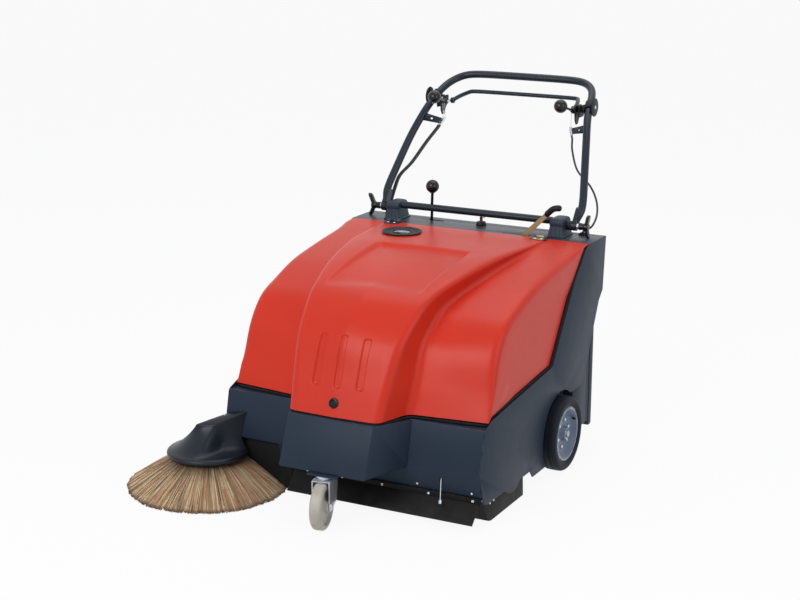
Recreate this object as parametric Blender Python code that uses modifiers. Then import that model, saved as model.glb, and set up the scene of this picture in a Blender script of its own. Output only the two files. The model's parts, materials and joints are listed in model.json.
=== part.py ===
"""Walk-behind floor sweeper, every sub-part as its own object, in metres.

X runs across the machine, -Y is its front and +Z is up. While modelling, the floor is z = 0, the centre
plane is x = 0 and y = 0 is the top edge of the front panel. "left" is the +X side, as seen from the handle.
"""
import math

import bmesh
import bpy
from mathutils import Matrix, Vector

# Driving dimensions of the frame
SHEET = 0.003               # wall of the folded sheet parts
PLAY = 0.0003               # gap between pieces that touch
HALF_WIDTH = 0.3627         # centre plane to the outer face of a side panel
FRONT_TOP_Z = 0.248         # top edge of the front panel
FOLD_Y = -0.025             # the front panel leans out to this fold
FOLD_Z = 0.134
STRIP_Y = -0.010            # lower edge of the strip under the fold
STRIP_Z = 0.080
SIDE_FOOT_Z = 0.055         # lower edge of a side panel
REAR_FOOT_Z = 0.034         # and in front of the wheel
DECK_Z = 0.256              # top of the deck over the main broom
TOP_Z = 0.5757              # top plate
TOP_FRONT_Y = 0.657
TOP_REAR_Y = 0.779
REAR_WALL_FOOT = (0.745, 0.405)
SHELF_Z = 0.408             # shelf of the filter, over the hopper

# Wheels
AXLE_Y = 0.480
AXLE_Z = 0.100              # also the radius of a tyre
AXLE_R = 0.008
TYRE_WIDTH = 0.050
TYRE_OUT_X = HALF_WIDTH + 0.0253
RIM_R = 0.0731
ARCH_GAP = 0.015            # tyre to the edge of the wheel arch

# Caster under the nose box
SWIVEL_X = 0.0095
SWIVEL_Y = -0.150
CASTER_R = 0.0595
CASTER_WIDTH = 0.030
CASTER_TRAIL = 0.034        # short, so that the wheel swings clear of the raised flap
CASTER_YAW = math.radians(12)
NOSE_TOP_Z = 0.254
NOSE_TOP_Y = -0.110
NOSE_FOOT_Z = 0.131
NOSE_FOOT_Y = -0.160
NOSE_HALF = 0.118           # half width of the nose box at its front
NOSE_ROOT_HALF = 0.166      # and where it meets the front panel
NOSE_ROOT_GAP = 0.0023      # its slanted sides end this far before the front panel

# Side brush
BRUSH_X = -0.390
BRUSH_Y = -0.062
BRUSH_R = 0.212
BRUSH_STRANDS = 170
COVER_R = 0.105
COVER_RIM_Z = 0.088
BRUSH_LIFT = 0.027
BRUSH_TIP_Z = 0.0008
STRAND_HALF = 0.0014         # half width of a strand of this brush

# Main broom
BROOM_R = 0.115
BROOM_Y = 0.265
BROOM_Z = 0.116
HOUSING_HALF = HALF_WIDTH - 0.0377      # outer face of the chamber's side walls
BELT_X = HOUSING_HALF - 0.025           # middle of the belt
ARM_X = HOUSING_HALF - 0.053            # middle of the broom arm's bars
BROOM_HALF = HOUSING_HALF - 0.070
BROOM_CORE_R = 0.032
BROOM_ROWS = 11
BROOM_STRANDS = 12          # strands in a row
TUFT_HALF = 0.0040          # half width of a strand of the broom
DRIVE_Y = 0.430             # motor shaft, about which the broom arm swings
DRIVE_Z = 0.313

# Handle
PIVOT_Y = 0.7235
PIVOT_Z = 0.606
HANDLE_R = 0.0108
BAIL_R = 0.006
KNOB_R = 0.0165

SIDES = {"left": 1, "right": -1}

for old in list(bpy.data.objects):
    bpy.data.objects.remove(old)


def collection(name):
    made = bpy.data.collections.new(name)
    bpy.context.scene.collection.children.link(made)
    return made


PARTS = collection("floor_sweeper")
TOOLS = collection("cutters")
machine = bpy.data.objects.new("machine", None)
PARTS.objects.link(machine)


def paint(name, colour, roughness, metallic=0.0):
    """A material with its colour in linear light."""
    made = bpy.data.materials.new(name)
    made.use_nodes = True
    shader = made.node_tree.nodes["Principled BSDF"]
    shader.inputs["Base Color"].default_value = (*colour, 1)
    shader.inputs["Roughness"].default_value = roughness
    shader.inputs["Metallic"].default_value = metallic
    made.diffuse_color = (*colour, 1)
    return made


SLATE = paint("slate_powder_coat", (0.055, 0.070, 0.095), 0.45, 0.2)
HOOD_RED = paint("hood_plastic", (0.62, 0.055, 0.025), 0.38)
DARK_PLASTIC = paint("dark_plastic", (0.02, 0.024, 0.032), 0.35)
KNOB_BLACK = paint("gloss_black", (0.008, 0.008, 0.009), 0.12)
RUBBER = paint("black_rubber", (0.012, 0.011, 0.011), 0.75)
RIM_GREY = paint("rim_plastic", (0.16, 0.19, 0.25), 0.4)
ZINC = paint("bright_zinc", (0.62, 0.64, 0.66), 0.28, 1.0)
GOLD = paint("yellow_zinc", (0.55, 0.42, 0.20), 0.35, 1.0)
CREAM = paint("cream_nylon", (0.60, 0.55, 0.42), 0.4)
STRAW = paint("straw_bristle", (0.50, 0.33, 0.17), 0.8)
BRISTLE_BLACK = paint("black_bristle", (0.02, 0.02, 0.02), 0.7)
RED_KEY = paint("dark_red_plastic", (0.20, 0.012, 0.015), 0.35)
LENS = paint("gauge_lens", (0.25, 0.24, 0.30), 0.08)
STEEL = paint("plain_steel", (0.45, 0.46, 0.48), 0.35, 1.0)
FILTER_PAPER = paint("filter_paper", (0.62, 0.58, 0.48), 0.9)


# Making and joining shapes

def register(name, mesh, material):
    """Make an object of a mesh that is drawn in machine coordinates."""
    made = bpy.data.objects.new(name, mesh)
    PARTS.objects.link(made)
    made.parent = machine
    if material:
        mesh.materials.clear()
        mesh.materials.append(material)
    return made


def put_origin(part, point):
    """Move an object's origin to a point, its shape staying where it is."""
    part.data.transform(Matrix.Translation(-Vector(point)))
    part.location = point
    return part


def soften(part, degrees=35):
    """Shade a round piece smooth up to an edge angle."""
    part.data.shade_smooth()
    part.data.set_sharp_from_angle(angle=math.radians(degrees))
    return part


def as_tool(part):
    """Keep an object as a cutter or a piece that a modifier joins."""
    PARTS.objects.unlink(part)
    TOOLS.objects.link(part)
    part.hide_render = True
    part.display_type = "WIRE"
    return part


def combine(part, other, operation):
    as_tool(other)
    step = part.modifiers.new(other.name, "BOOLEAN")
    step.operation = operation
    step.solver = "EXACT"
    step.object = other
    return part


def cut(part, *cutters):
    for cutter in cutters:
        combine(part, cutter, "DIFFERENCE")
    return part


def fuse(part, *others):
    for other in others:
        combine(part, other, "UNION")
    return part


def applied(part, weld=0.00002):
    """The object with its modifiers or its curve turned into a plain welded mesh."""
    bpy.context.view_layer.update()
    depsgraph = bpy.context.evaluated_depsgraph_get()
    mesh = bpy.data.meshes.new_from_object(part.evaluated_get(depsgraph))
    work = bmesh.new()
    work.from_mesh(mesh)
    bmesh.ops.remove_doubles(work, verts=work.verts, dist=weld)
    work.to_mesh(mesh)
    work.free()
    name = part.name
    matrix = part.matrix_world.copy()
    bpy.data.objects.remove(part)
    mesh.transform(matrix)
    return register(name, mesh, None)


def box(name, low, high, material=None, bevel=0.0, segments=1):
    """A box between two corners, its edges bevelled where bevel is given."""
    work = bmesh.new()
    size = [h - l for l, h in zip(low, high)]
    middle = [(h + l) / 2 for l, h in zip(low, high)]
    bmesh.ops.create_cube(work, size=1)
    bmesh.ops.scale(work, vec=size, verts=work.verts)
    bmesh.ops.translate(work, vec=middle, verts=work.verts)
    if bevel:
        bmesh.ops.bevel(work, geom=work.edges, offset=bevel, segments=segments, profile=0.5, affect="EDGES")
    mesh = bpy.data.meshes.new(name)
    work.to_mesh(mesh)
    work.free()
    return register(name, mesh, material)


def rod(name, start, end, radius, material=None, sides=24, end_radius=None):
    """A cylinder or a cone between two points."""
    start, end = Vector(start), Vector(end)
    reach = end - start
    work = bmesh.new()
    far = radius if end_radius is None else end_radius
    bmesh.ops.create_cone(work, cap_ends=True, segments=sides, radius1=radius, radius2=far, depth=reach.length)
    turn = reach.to_track_quat("Z", "Y").to_matrix().to_4x4()
    bmesh.ops.transform(work, matrix=Matrix.Translation((start + end) / 2) @ turn, verts=work.verts)
    mesh = bpy.data.meshes.new(name)
    work.to_mesh(mesh)
    work.free()
    return soften(register(name, mesh, material))


def ball(name, centre, radius, material=None, sides=20):
    work = bmesh.new()
    bmesh.ops.create_uvsphere(work, u_segments=sides, v_segments=sides // 2, radius=radius)
    bmesh.ops.translate(work, vec=centre, verts=work.verts)
    mesh = bpy.data.meshes.new(name)
    work.to_mesh(mesh)
    work.free()
    return soften(register(name, mesh, material))


def rounded(points, steps=4):
    """Outline points, where a third number rounds the corner with that radius."""
    made = []
    count = len(points)
    for index, point in enumerate(points):
        here = Vector(point[:2])
        if len(point) < 3:
            made.append(tuple(here))
            continue
        before = Vector(points[index - 1][:2])
        after = Vector(points[(index + 1) % count][:2])
        into, out = (here - before).normalized(), (after - here).normalized()
        turn = into.angle(out)
        reach = point[2] * math.tan(turn / 2)
        begin, finish = here - into * reach, here + out * reach
        for step in range(steps + 1):
            share = step / steps
            blend = begin.lerp(here, share).lerp(here.lerp(finish, share), share)
            made.append(tuple(blend))
    return made


PLANES = {
    "X": Matrix(((0, 0, 1, 0), (1, 0, 0, 0), (0, 1, 0, 0), (0, 0, 0, 1))),
    "Y": Matrix(((1, 0, 0, 0), (0, 0, 1, 0), (0, 1, 0, 0), (0, 0, 0, 1))),
    "Z": Matrix.Identity(4),
}


def flat(name, outline, axis, low, high, material=None, holes=()):
    """A flat outline, with holes, given a thickness from low to high along an axis.

    The outline's two numbers are (y, z) along X, (x, z) along Y and (x, y) along Z.
    """
    curve = bpy.data.curves.new(name, "CURVE")
    curve.dimensions = "2D"
    curve.fill_mode = "BOTH"
    curve.extrude = (high - low) / 2
    for loop in (outline, *holes):
        spline = curve.splines.new("POLY")
        spline.points.add(len(loop) - 1)
        for point, place in zip(spline.points, loop):
            point.co = (place[0], place[1], 0, 1)
        spline.use_cyclic_u = True
    drawn = bpy.data.objects.new(name, curve)
    PARTS.objects.link(drawn)
    drawn.matrix_world = PLANES[axis] @ Matrix.Translation((0, 0, (low + high) / 2))
    part = applied(drawn)
    work = bmesh.new()
    work.from_mesh(part.data)
    bmesh.ops.recalc_face_normals(work, faces=work.faces)
    bmesh.ops.dissolve_limit(work, angle_limit=0.001, verts=work.verts, edges=work.edges)
    work.to_mesh(part.data)
    work.free()
    if material:
        part.data.materials.clear()
        part.data.materials.append(material)
    return part


def ribbon(path, wall, side=1):
    """The closed outline of a sheet folded along a path, its wall laid to one side."""
    points = [Vector(p) for p in path]
    other = []
    for index, here in enumerate(points):
        into = (here - points[index - 1]).normalized() if index else (points[1] - here).normalized()
        out = (points[index + 1] - here).normalized() if index + 1 < len(points) else into
        normal = Vector((-into.y, into.x)) + Vector((-out.y, out.x))
        normal.normalize()
        reach = wall / max(0.3, normal.dot(Vector((-into.y, into.x))))
        other.append(here + normal * reach * side)
    return [tuple(p) for p in points] + [tuple(p) for p in reversed(other)]


def circle(centre, radius, count=24, start=0.0, sweep=math.tau):
    """Points on a circle, or on an arc where sweep is less than a turn."""
    full = abs(abs(sweep) - math.tau) < 1e-6
    steps = count if full else count - 1
    return [(centre[0] + radius * math.cos(start + sweep * i / steps),
             centre[1] + radius * math.sin(start + sweep * i / steps)) for i in range(count)]


def turned(name, profile, centre, axis, material=None, steps=32, ring=False):
    """A profile of (radius, height) points, top to bottom, turned about an axis through centre.

    A ring's profile is a closed loop, which runs down its outer side first.
    """
    mesh = bpy.data.meshes.new(name)
    points = [(radius, 0, height) for radius, height in profile]
    edges = [(i, i + 1) for i in range(len(points) - 1)]
    mesh.from_pydata(points, edges + [(len(points) - 1, 0)] * ring, [])
    part = bpy.data.objects.new(name, mesh)
    PARTS.objects.link(part)
    screw = part.modifiers.new("turn", "SCREW")
    screw.steps = steps
    screw.render_steps = steps
    screw.use_merge_vertices = True
    screw.merge_threshold = 0.00005
    part.matrix_world = Matrix.Translation(centre) @ Vector(axis).to_track_quat("Z", "Y").to_matrix().to_4x4()
    made = applied(part)
    if material:
        made.data.materials.append(material)
    return soften(made)


def tube(name, points, radius, material=None, resolution=3, cyclic=False, swell=None):
    """A round tube or wire along a list of points, swell scaling its radius at each of them."""
    curve = bpy.data.curves.new(name, "CURVE")
    curve.dimensions = "3D"
    curve.bevel_depth = radius
    curve.bevel_resolution = resolution
    curve.use_fill_caps = True
    spline = curve.splines.new("POLY")
    spline.points.add(len(points) - 1)
    for point, place in zip(spline.points, points):
        point.co = (*place, 1)
    for point, factor in zip(spline.points, swell or ()):
        point.radius = factor
    spline.use_cyclic_u = cyclic
    drawn = bpy.data.objects.new(name, curve)
    PARTS.objects.link(drawn)
    part = applied(drawn)
    if material:
        part.data.materials.clear()
        part.data.materials.append(material)
    return soften(part)


def mirrored(points, side):
    """Points that are given for the left side, on the side asked for."""
    return [(p[0] * side, *p[1:]) for p in points]


def span(side, near, far):
    """Low and high x of something that reaches from near to far of the centre plane on a side."""
    return (near, far) if side > 0 else (-far, -near)


# Folded sheet frame

INNER_HALF = HALF_WIDTH - SHEET - PLAY      # half width of what stands between the side panels
SEAM = [(0.046, 0.264), (0.417, 0.297), (0.554, 0.491), (0.632, 0.566)]   # side panel under the hood
REAR_EDGE = [(TOP_REAR_Y, TOP_Z), (0.766, 0.428), (0.740, 0.403), (0.682, 0.290), (0.654, 0.226)]
ARCH_R = AXLE_Z + ARCH_GAP
ARCH_REAR_Z = 0.192
SEAM_FLANGE = 0.012
FLANGE_START_Y = 0.085
seam_rise = (SEAM[1][1] - SEAM[0][1]) / (SEAM[1][0] - SEAM[0][0])
FLANGE_START = (FLANGE_START_Y, SEAM[0][1] + (FLANGE_START_Y - SEAM[0][0]) * seam_rise)
BRUSH_NOTCH = [(-0.04, -0.01), (-0.04, 0.146), (0.062, 0.146), (0.150, 0.075), (0.190, 0.045), (0.190, -0.01)]


def side_panel(name):
    side = SIDES[name]
    rear_angle = math.asin((ARCH_REAR_Z - AXLE_Z) / ARCH_R)
    front_angle = math.pi + math.asin((AXLE_Z - REAR_FOOT_Z) / ARCH_R)
    arch = circle((AXLE_Y, AXLE_Z), ARCH_R, 14, rear_angle, front_angle - rear_angle)
    outline = [(-0.004, 0.064), (FOLD_Y, FOLD_Z, 0.01), (0.0, FRONT_TOP_Z, 0.012), *SEAM, (0.660, TOP_Z)]
    outline += [*REAR_EDGE, (0.624, ARCH_REAR_Z, 0.02), *arch]
    outline += [(0.300, REAR_FOOT_Z, 0.006), (0.281, SIDE_FOOT_Z), (0.222, SIDE_FOOT_Z), (0.192, 0.040)]
    outline += [(0.167, 0.036), (0.150, 0.040), (0.120, SIDE_FOOT_Z), (0.018, SIDE_FOOT_Z)]
    panel = flat("side_panel_" + name, rounded(outline, 3), "X",
                 *span(side, HALF_WIDTH - SHEET, HALF_WIDTH), material=SLATE)
    reach = span(side, HALF_WIDTH - SHEET - SEAM_FLANGE, HALF_WIDTH - SHEET / 2)
    fuse(panel, flat("seam_flange_" + name, ribbon([FLANGE_START, *SEAM[1:]], SHEET, -1), "X", *reach))
    if side < 0:
        cut(panel, flat("brush_notch", BRUSH_NOTCH, "X", -HALF_WIDTH - SHEET, -HALF_WIDTH + 3 * SHEET))
    return panel


for side_name in SIDES:
    side_panel(side_name)

LEDGE_DEPTH = 0.038         # top flange of the front panel, under the hood seal
STRIP_END_X = -0.200        # the lower strip stops here, clear of the side brush
LUG_LOW, LUG_HIGH = 0.120, 0.160    # lug of the side brush arm, through the front panel
LUG_LEFT, LUG_RIGHT = -0.322, -0.350
WIRE_X = 0.256

front_path = [(LEDGE_DEPTH, FRONT_TOP_Z), (0.0, FRONT_TOP_Z), (FOLD_Y, FOLD_Z), (STRIP_Y, STRIP_Z)]
front_ribbon = ribbon(front_path, SHEET, 1)
front_panel = flat("front_panel", front_ribbon, "X", -INNER_HALF, INNER_HALF, SLATE)
cut(front_panel,
    box("strip_end", (-0.4, -0.1, 0), (STRIP_END_X, 0.1, FOLD_Z - 0.002)),
    box("lug_opening", (LUG_RIGHT - 0.003, -0.1, FOLD_Z - 0.01),
        (LUG_LEFT + 0.003, 0.02, LUG_HIGH + BRUSH_LIFT + 0.002)),
    rod("wire_hole", (WIRE_X, -0.05, 0.1125), (WIRE_X, 0.02, 0.1125), 0.006, sides=12))


def nose_shell():
    """The box under the hood's nose: narrower in front, leaning out towards its foot, open behind."""
    work = bmesh.new()
    bmesh.ops.create_cube(work, size=2)
    for vert in work.verts:
        x, y, z = vert.co
        front, top = y < 0, z > 0
        half = NOSE_HALF if front else NOSE_ROOT_HALF
        root_y = -NOSE_ROOT_GAP if top else FOLD_Y - NOSE_ROOT_GAP
        vert.co = (half * x,
                   (NOSE_TOP_Y if top else NOSE_FOOT_Y) if front else root_y,
                   NOSE_FOOT_Z if not top else (NOSE_TOP_Z if front else FRONT_TOP_Z))
    rear = [f for f in work.faces if f.normal.y > 0.5]
    bmesh.ops.delete(work, geom=rear, context="FACES_ONLY")
    creases = [e for e in work.edges if len(e.link_faces) == 2]
    bmesh.ops.bevel(work, geom=creases, offset=0.004, segments=2, profile=0.5, affect="EDGES")
    mesh = bpy.data.meshes.new("nose_box")
    work.to_mesh(mesh)
    work.free()
    part = register("nose_box", mesh, SLATE)
    wall = part.modifiers.new("wall", "SOLIDIFY")
    wall.thickness = SHEET
    wall.offset = -1
    return soften(part, 20)


nose_box = nose_shell()

HINGE_X = 0.223
HINGE_Y = 0.650
HINGE_Z = TOP_Z + 0.0075
HINGE_R = 0.004
KNUCKLE_HALF = 0.007        # the hood's knuckle, between two of the top plate
BASE_HALF = 0.019
LEVER_SLOT_Y = 0.680        # plane of the flat broom lever
BALL_LEVER_Y = 0.740
BALL_LEVER_X = -0.152
CABLE_HOLE_R = 0.007
CABLE_DROP = {"left": (0.302, 0.757), "right": (-0.297, 0.760)}

top_path = [(TOP_FRONT_Y, TOP_Z - 0.022), (TOP_FRONT_Y, TOP_Z), (TOP_REAR_Y, TOP_Z), (0.764, 0.430), REAR_WALL_FOOT]
top_plate = flat("top_plate", ribbon(top_path, SHEET, -1), "X", -INNER_HALF, INNER_HALF, SLATE)
knuckle = circle((HINGE_Y, HINGE_Z), HINGE_R, 7, math.pi / 2, math.pi)
knuckle += [(TOP_FRONT_Y + 0.0005, HINGE_Z - 0.002), (TOP_FRONT_Y + 0.0005, TOP_Z - 0.001),
            (HINGE_Y + 0.018, TOP_Z - 0.001), (HINGE_Y + 0.018, HINGE_Z)]
for side_name, side in SIDES.items():
    for near, far in ((KNUCKLE_HALF + PLAY, BASE_HALF), (-BASE_HALF, -KNUCKLE_HALF - PLAY)):
        low, high = sorted((side * HINGE_X + near, side * HINGE_X + far))
        fuse(top_plate, flat("hinge_knuckle", knuckle, "X", low, high))
    pin = side * HINGE_X
    fuse(top_plate, rod("hinge_pin", (pin - KNUCKLE_HALF - 0.004, HINGE_Y, HINGE_Z),
                        (pin + KNUCKLE_HALF + 0.004, HINGE_Y, HINGE_Z), HINGE_R / 2, sides=8))
    drop_x, drop_y = CABLE_DROP[side_name]
    cut(top_plate,
        rod("cable_hole", (drop_x, drop_y, TOP_Z - 0.03), (drop_x, drop_y, TOP_Z + 0.03), CABLE_HOLE_R, sides=12))
cut(top_plate,
    box("ball_lever_slot", (BALL_LEVER_X - 0.006, BALL_LEVER_Y - 0.006, TOP_Z - 0.02),
        (BALL_LEVER_X + 0.040, BALL_LEVER_Y + 0.006, TOP_Z + 0.01)),
    box("broom_lever_slot", (0.095, LEVER_SLOT_Y - 0.0035, TOP_Z - 0.02),
        (0.200, LEVER_SLOT_Y + 0.0035, TOP_Z + 0.01)))

# Deck, chamber and throat round the main broom

DECK_FRONT_Y = 0.056
RISER_Y = 0.592
CHAMBER_FRONT_Y = 0.105
CHAMBER_LOW_Z = 0.036
THROAT_Z = 0.118            # floor of the throat over the axle
RAIL_Z = 0.062              # top of the hopper's rails
SHELF_REAR_Y = 0.700

deck_path = [(DECK_FRONT_Y, DECK_Z), (RISER_Y, DECK_Z), (RISER_Y, SHELF_Z), (SHELF_REAR_Y, SHELF_Z)]
broom_housing = flat("broom_housing", ribbon(deck_path, SHEET, -1), "X", -INNER_HALF, INNER_HALF, SLATE)
wall_outline = [(CHAMBER_FRONT_Y, CHAMBER_LOW_Z), (CHAMBER_FRONT_Y, DECK_Z - 0.001), (RISER_Y, DECK_Z - 0.001),
                (RISER_Y, CHAMBER_LOW_Z)]
throat_path = [(0.392, 0.030), (0.398, 0.095), (0.420, THROAT_Z), (RISER_Y - 0.003, THROAT_Z)]
front_wall = [(CHAMBER_FRONT_Y, CHAMBER_LOW_Z), (CHAMBER_FRONT_Y, DECK_Z - 0.001)]
fuse(broom_housing,
     flat("throat", ribbon(throat_path, SHEET, -1), "X", -HOUSING_HALF + 0.001, HOUSING_HALF - 0.001),
     flat("chamber_front", ribbon(front_wall, SHEET, -1), "X", -HOUSING_HALF + 0.001, HOUSING_HALF - 0.001))
for side_name, side in SIDES.items():
    wall = flat("chamber_wall_" + side_name, wall_outline, "X", *span(side, HOUSING_HALF - SHEET, HOUSING_HALF))
    rail_low, rail_high = span(side, HOUSING_HALF - SHEET, HOUSING_HALF + 0.009)
    fuse(broom_housing, wall,
         box("rail_" + side_name, (rail_low, RISER_Y - 0.035, RAIL_Z - 0.010), (rail_high, 0.712, RAIL_Z)))
cut(broom_housing,
    rod("axle_bore", (-0.4, AXLE_Y, AXLE_Z), (0.4, AXLE_Y, AXLE_Z), AXLE_R + PLAY, sides=16),
    box("shelf_window", (-0.235, 0.612, SHELF_Z - 0.02), (0.235, SHELF_REAR_Y - 0.018, SHELF_Z + 0.02)))
LIFTED_BRUSH_Z = 0.075      # the chamber's corner stays over the lifted side brush
cut(broom_housing,
    rod("brush_clearance", (BRUSH_X, BRUSH_Y, 0), (BRUSH_X, BRUSH_Y, LIFTED_BRUSH_Z), BRUSH_R + 0.006, sides=28))
ARM_SLOT_Y = (0.335, 0.4745)            # what the arm's bars and the belt sweep as the broom lifts
BELT_SLOT_Y = (0.302, 0.440)


def deck_slot(name, x, half, reach):
    return box(name, (x - half, reach[0], DECK_Z - 0.02), (x + half, reach[1], DECK_Z + 0.02))


cut(broom_housing, deck_slot("belt_slot", BELT_X, 0.010, BELT_SLOT_Y),
    *[deck_slot("arm_slot", side * ARM_X, 0.006, ARM_SLOT_Y) for side in SIDES.values()])

rod("axle", (-TYRE_OUT_X + 0.001, AXLE_Y, AXLE_Z), (TYRE_OUT_X - 0.001, AXLE_Y, AXLE_Z), AXLE_R, STEEL, sides=16)


# Hood: one moulding lofted over stations from its front foot (0) to its rear edge (9)

HOOD_WALL = 0.004
SEAL_R = 0.0028             # bulb seal under the hood's lower edge
FRONT_SEAL_R = 0.0037
FOOT_GAP = 0.0094            # the hood's foot over the front panel
HOOD_FOOT_Z = FRONT_TOP_Z + FOOT_GAP
HOOD_REAR_Y = TOP_FRONT_Y - 0.0035
HOOD_SIDE_X = INNER_HALF - 0.002
INSET = 0.004               # depth of the flat panel in the hood's flank
TRAY_DEPTH = 0.010
TRAY_HALF = 0.128
TRAY_REAR_Y = 0.392
TRAY_FRONT_Y = 0.125
TRAY_SLOPE = 0.018

CENTRE = [(0, -0.104, 0.2582), (0, -0.070, 0.355), (0, -0.036, 0.445), (0, 0.035, 0.518), (0, 0.105, 0.545),
          (0, 0.210, 0.567), (0, 0.318, 0.580), (0, 0.417, 0.585), (0, 0.530, 0.584), (0, HOOD_REAR_Y, 0.5785)]
CREST = [(0.124, -0.0995, 0.2582), (0.1345, -0.063, 0.353), (0.147, -0.018, 0.438), (0.1625, 0.0545, 0.506),
         (0.172, 0.113, 0.536), (0.195, 0.213, 0.561), (0.2145, 0.318, 0.576), (0.230, 0.417, 0.5826),
         (0.240, 0.530, 0.5825), (0.243, HOOD_REAR_Y, 0.5783)]
FOOT = [(0.1545, 0.004, 0.2582), (0.1616, 0.030, 0.335), (0.161, 0.068, 0.418), (0.1655, 0.130, 0.474),
        (0.172, 0.180, 0.498), (0.190, 0.260, 0.522), (0.2075, 0.340, 0.5405), (0.2236, 0.445, 0.5556),
        (0.2400, 0.550, 0.5680), (0.249, HOOD_REAR_Y, 0.5780)]
SHOULDER = [(0.354, 0.029, 0.2582), (0.356, 0.055, 0.320), (0.354, 0.085, 0.412), (0.3535, 0.135, 0.472),
            (0.354, 0.210, 0.503), (0.356, 0.301, 0.5315), (0.357, 0.400, 0.548), (0.3575, 0.500, 0.562),
            (0.3575, 0.600, 0.573), (HOOD_SIDE_X, HOOD_REAR_Y, 0.5775)]
INSET_AT = [1, 1, 0.85, 0.27, 0.25, 0.36, 0.58, 1, 1, 1]    # share of the flank above the inset's edge
STATIONS = [0, 1, 2, 2.5, 3, 3.5, 4, 5, 6.58, 6.76, 7, 8, 9]


def offset_path(path, distance):
    """A path laid beside another at a distance."""
    return list(reversed(ribbon(path, distance)[len(path):]))


LOWER_PATH = [(0.031, HOOD_FOOT_Z), *offset_path(SEAM, 2 * (SEAL_R + PLAY))]


def lower_edge():
    """Knots of the hood's lower edge, which runs beside the side panel's seam."""
    corners = [Vector(p) for p in LOWER_PATH]
    made = [corners[0]] + [corners[1].lerp(corners[2], share) for share in (0, 0.33, 0.67, 1)]
    made += [corners[2].lerp(corners[3], share) for share in (0.38, 0.7, 1)]
    made += [corners[4], Vector((HOOD_REAR_Y, 0.5735))]
    return [(HOOD_SIDE_X, p.x, p.y) for p in made]


LOWER = lower_edge()


def along(knots, t, smooth=True):
    """The point at station t on a line of knots, on a smooth curve or on straight runs."""
    knots = [Vector(k) for k in knots]
    i = min(int(t), len(knots) - 2)
    share = t - i
    b, c = knots[i], knots[i + 1]
    if not smooth:
        return b.lerp(c, share)
    a = knots[i - 1] if i else b * 2 - c
    d = knots[i + 2] if i + 2 < len(knots) else c * 2 - b
    return 0.5 * (2 * b + (c - a) * share + (2 * a - 5 * b + 4 * c - d) * share ** 2
                  + (3 * b - a - 3 * c + d) * share ** 3)


def round_corner(before, corner, after, radius, steps):
    """Points round a corner in space, the rounding held inside its two runs."""
    reach_in = min(radius, (corner - before).length * 0.48)
    reach_out = min(radius, (after - corner).length * 0.48)
    begin = corner + (before - corner).normalized() * reach_in
    finish = corner + (after - corner).normalized() * reach_out
    shares = [step / steps for step in range(steps + 1)]
    return [begin.lerp(corner, share).lerp(corner.lerp(finish, share), share) for share in shares]


def tray(point):
    """How far the tray sinks the hood's top at a point."""
    side = min(1, max(0, (TRAY_HALF - abs(point.x)) / TRAY_SLOPE))
    rear = min(1, max(0, (TRAY_REAR_Y - point.y) / TRAY_SLOPE))
    front = min(1, max(0, (point.y - TRAY_FRONT_Y) / 0.10))
    return TRAY_DEPTH * side * rear * front


def hood_section(t, corner_steps=3):
    """Half a cross-section of the hood at a station, from its centre to its lower edge."""
    centre, crest, foot = along(CENTRE, t), along(CREST, t), along(FOOT, t)
    shoulder, lower = along(SHOULDER, t), along(LOWER, t, smooth=False)
    crown = [centre.lerp(crest, min(x / crest.x, share)) for x, share in
             ((0.0, 0.0), (TRAY_HALF - TRAY_SLOPE, 0.72), (TRAY_HALF, 0.83))]
    points = [p - Vector((0, 0, tray(p))) for p in crown]
    points += round_corner(centre, crest, foot, 0.022, corner_steps)
    points += round_corner(crest, foot, shoulder, 0.020, 2)
    points.append(foot.lerp(shoulder, 0.5))
    points += round_corner(foot, shoulder, lower, 0.026, corner_steps)
    split = INSET_AT[min(int(t), 8)] * (1 - t % 1) + INSET_AT[min(int(t) + 1, 9)] * (t % 1) if t < 9 else 1
    deep = INSET * min(1, (1 - split) * 4)
    start = points[-1]
    for share, depth in ((split * 0.94, 0), (split * 0.94 + 0.05, deep), (1, deep)):
        place = start.lerp(lower, min(1, share) if share < 1 else 1)
        points.append(place - Vector((depth, 0, 0)))
    return points


def hood_shell():
    sections = [hood_section(t) for t in STATIONS]
    work = bmesh.new()
    rows = [[work.verts.new(p) for p in section] for section in sections]
    for low, high in zip(rows, rows[1:]):
        for a, b, c, d in zip(low, low[1:], high[1:], high):
            work.faces.new((a, b, c, d))
    bmesh.ops.remove_doubles(work, verts=work.verts, dist=0.00005)
    bmesh.ops.recalc_face_normals(work, faces=work.faces)
    mesh = bpy.data.meshes.new("hood")
    work.to_mesh(mesh)
    work.free()
    part = register("hood", mesh, HOOD_RED)
    mirror = part.modifiers.new("halves", "MIRROR")
    mirror.merge_threshold = 0.0001
    wall = part.modifiers.new("wall", "SOLIDIFY")
    wall.thickness = HOOD_WALL
    wall.offset = -1
    return soften(part, 30)


hood = put_origin(hood_shell(), (0, HINGE_Y, HINGE_Z))
GAUGE_X, GAUGE_Y, GAUGE_Z = -0.130, 0.517, 0.5845
GAUGE_R = 0.055
LOCK_Z = 0.290
LOCK_R = 0.013
NOSE_LEAN = Vector((0, 0.034, 0.097)).normalized()      # up the nose's front
NOSE_OUT = Vector((0, -NOSE_LEAN.z, NOSE_LEAN.y))
LOCK_AT = Vector((0, -0.0925, LOCK_Z))
GROOVE_PITCH = 0.0605
GROOVE_DEPTH = 0.0022
GROOVE_R = 0.011
GROOVE_STATIONS = (0.72, 1.1, 1.5, 1.95)


def nose_point(t, x, out):
    """A point on the nose at a station, some way off its surface."""
    def surface(at):
        crest = along(CREST, at)
        return along(CENTRE, at).lerp(crest, abs(x) / crest.x)
    up = (surface(t + 0.1) - surface(t - 0.1)).normalized()
    here = surface(t)
    return Vector((x, here.y - up.z * out, here.z + up.y * out))


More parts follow.
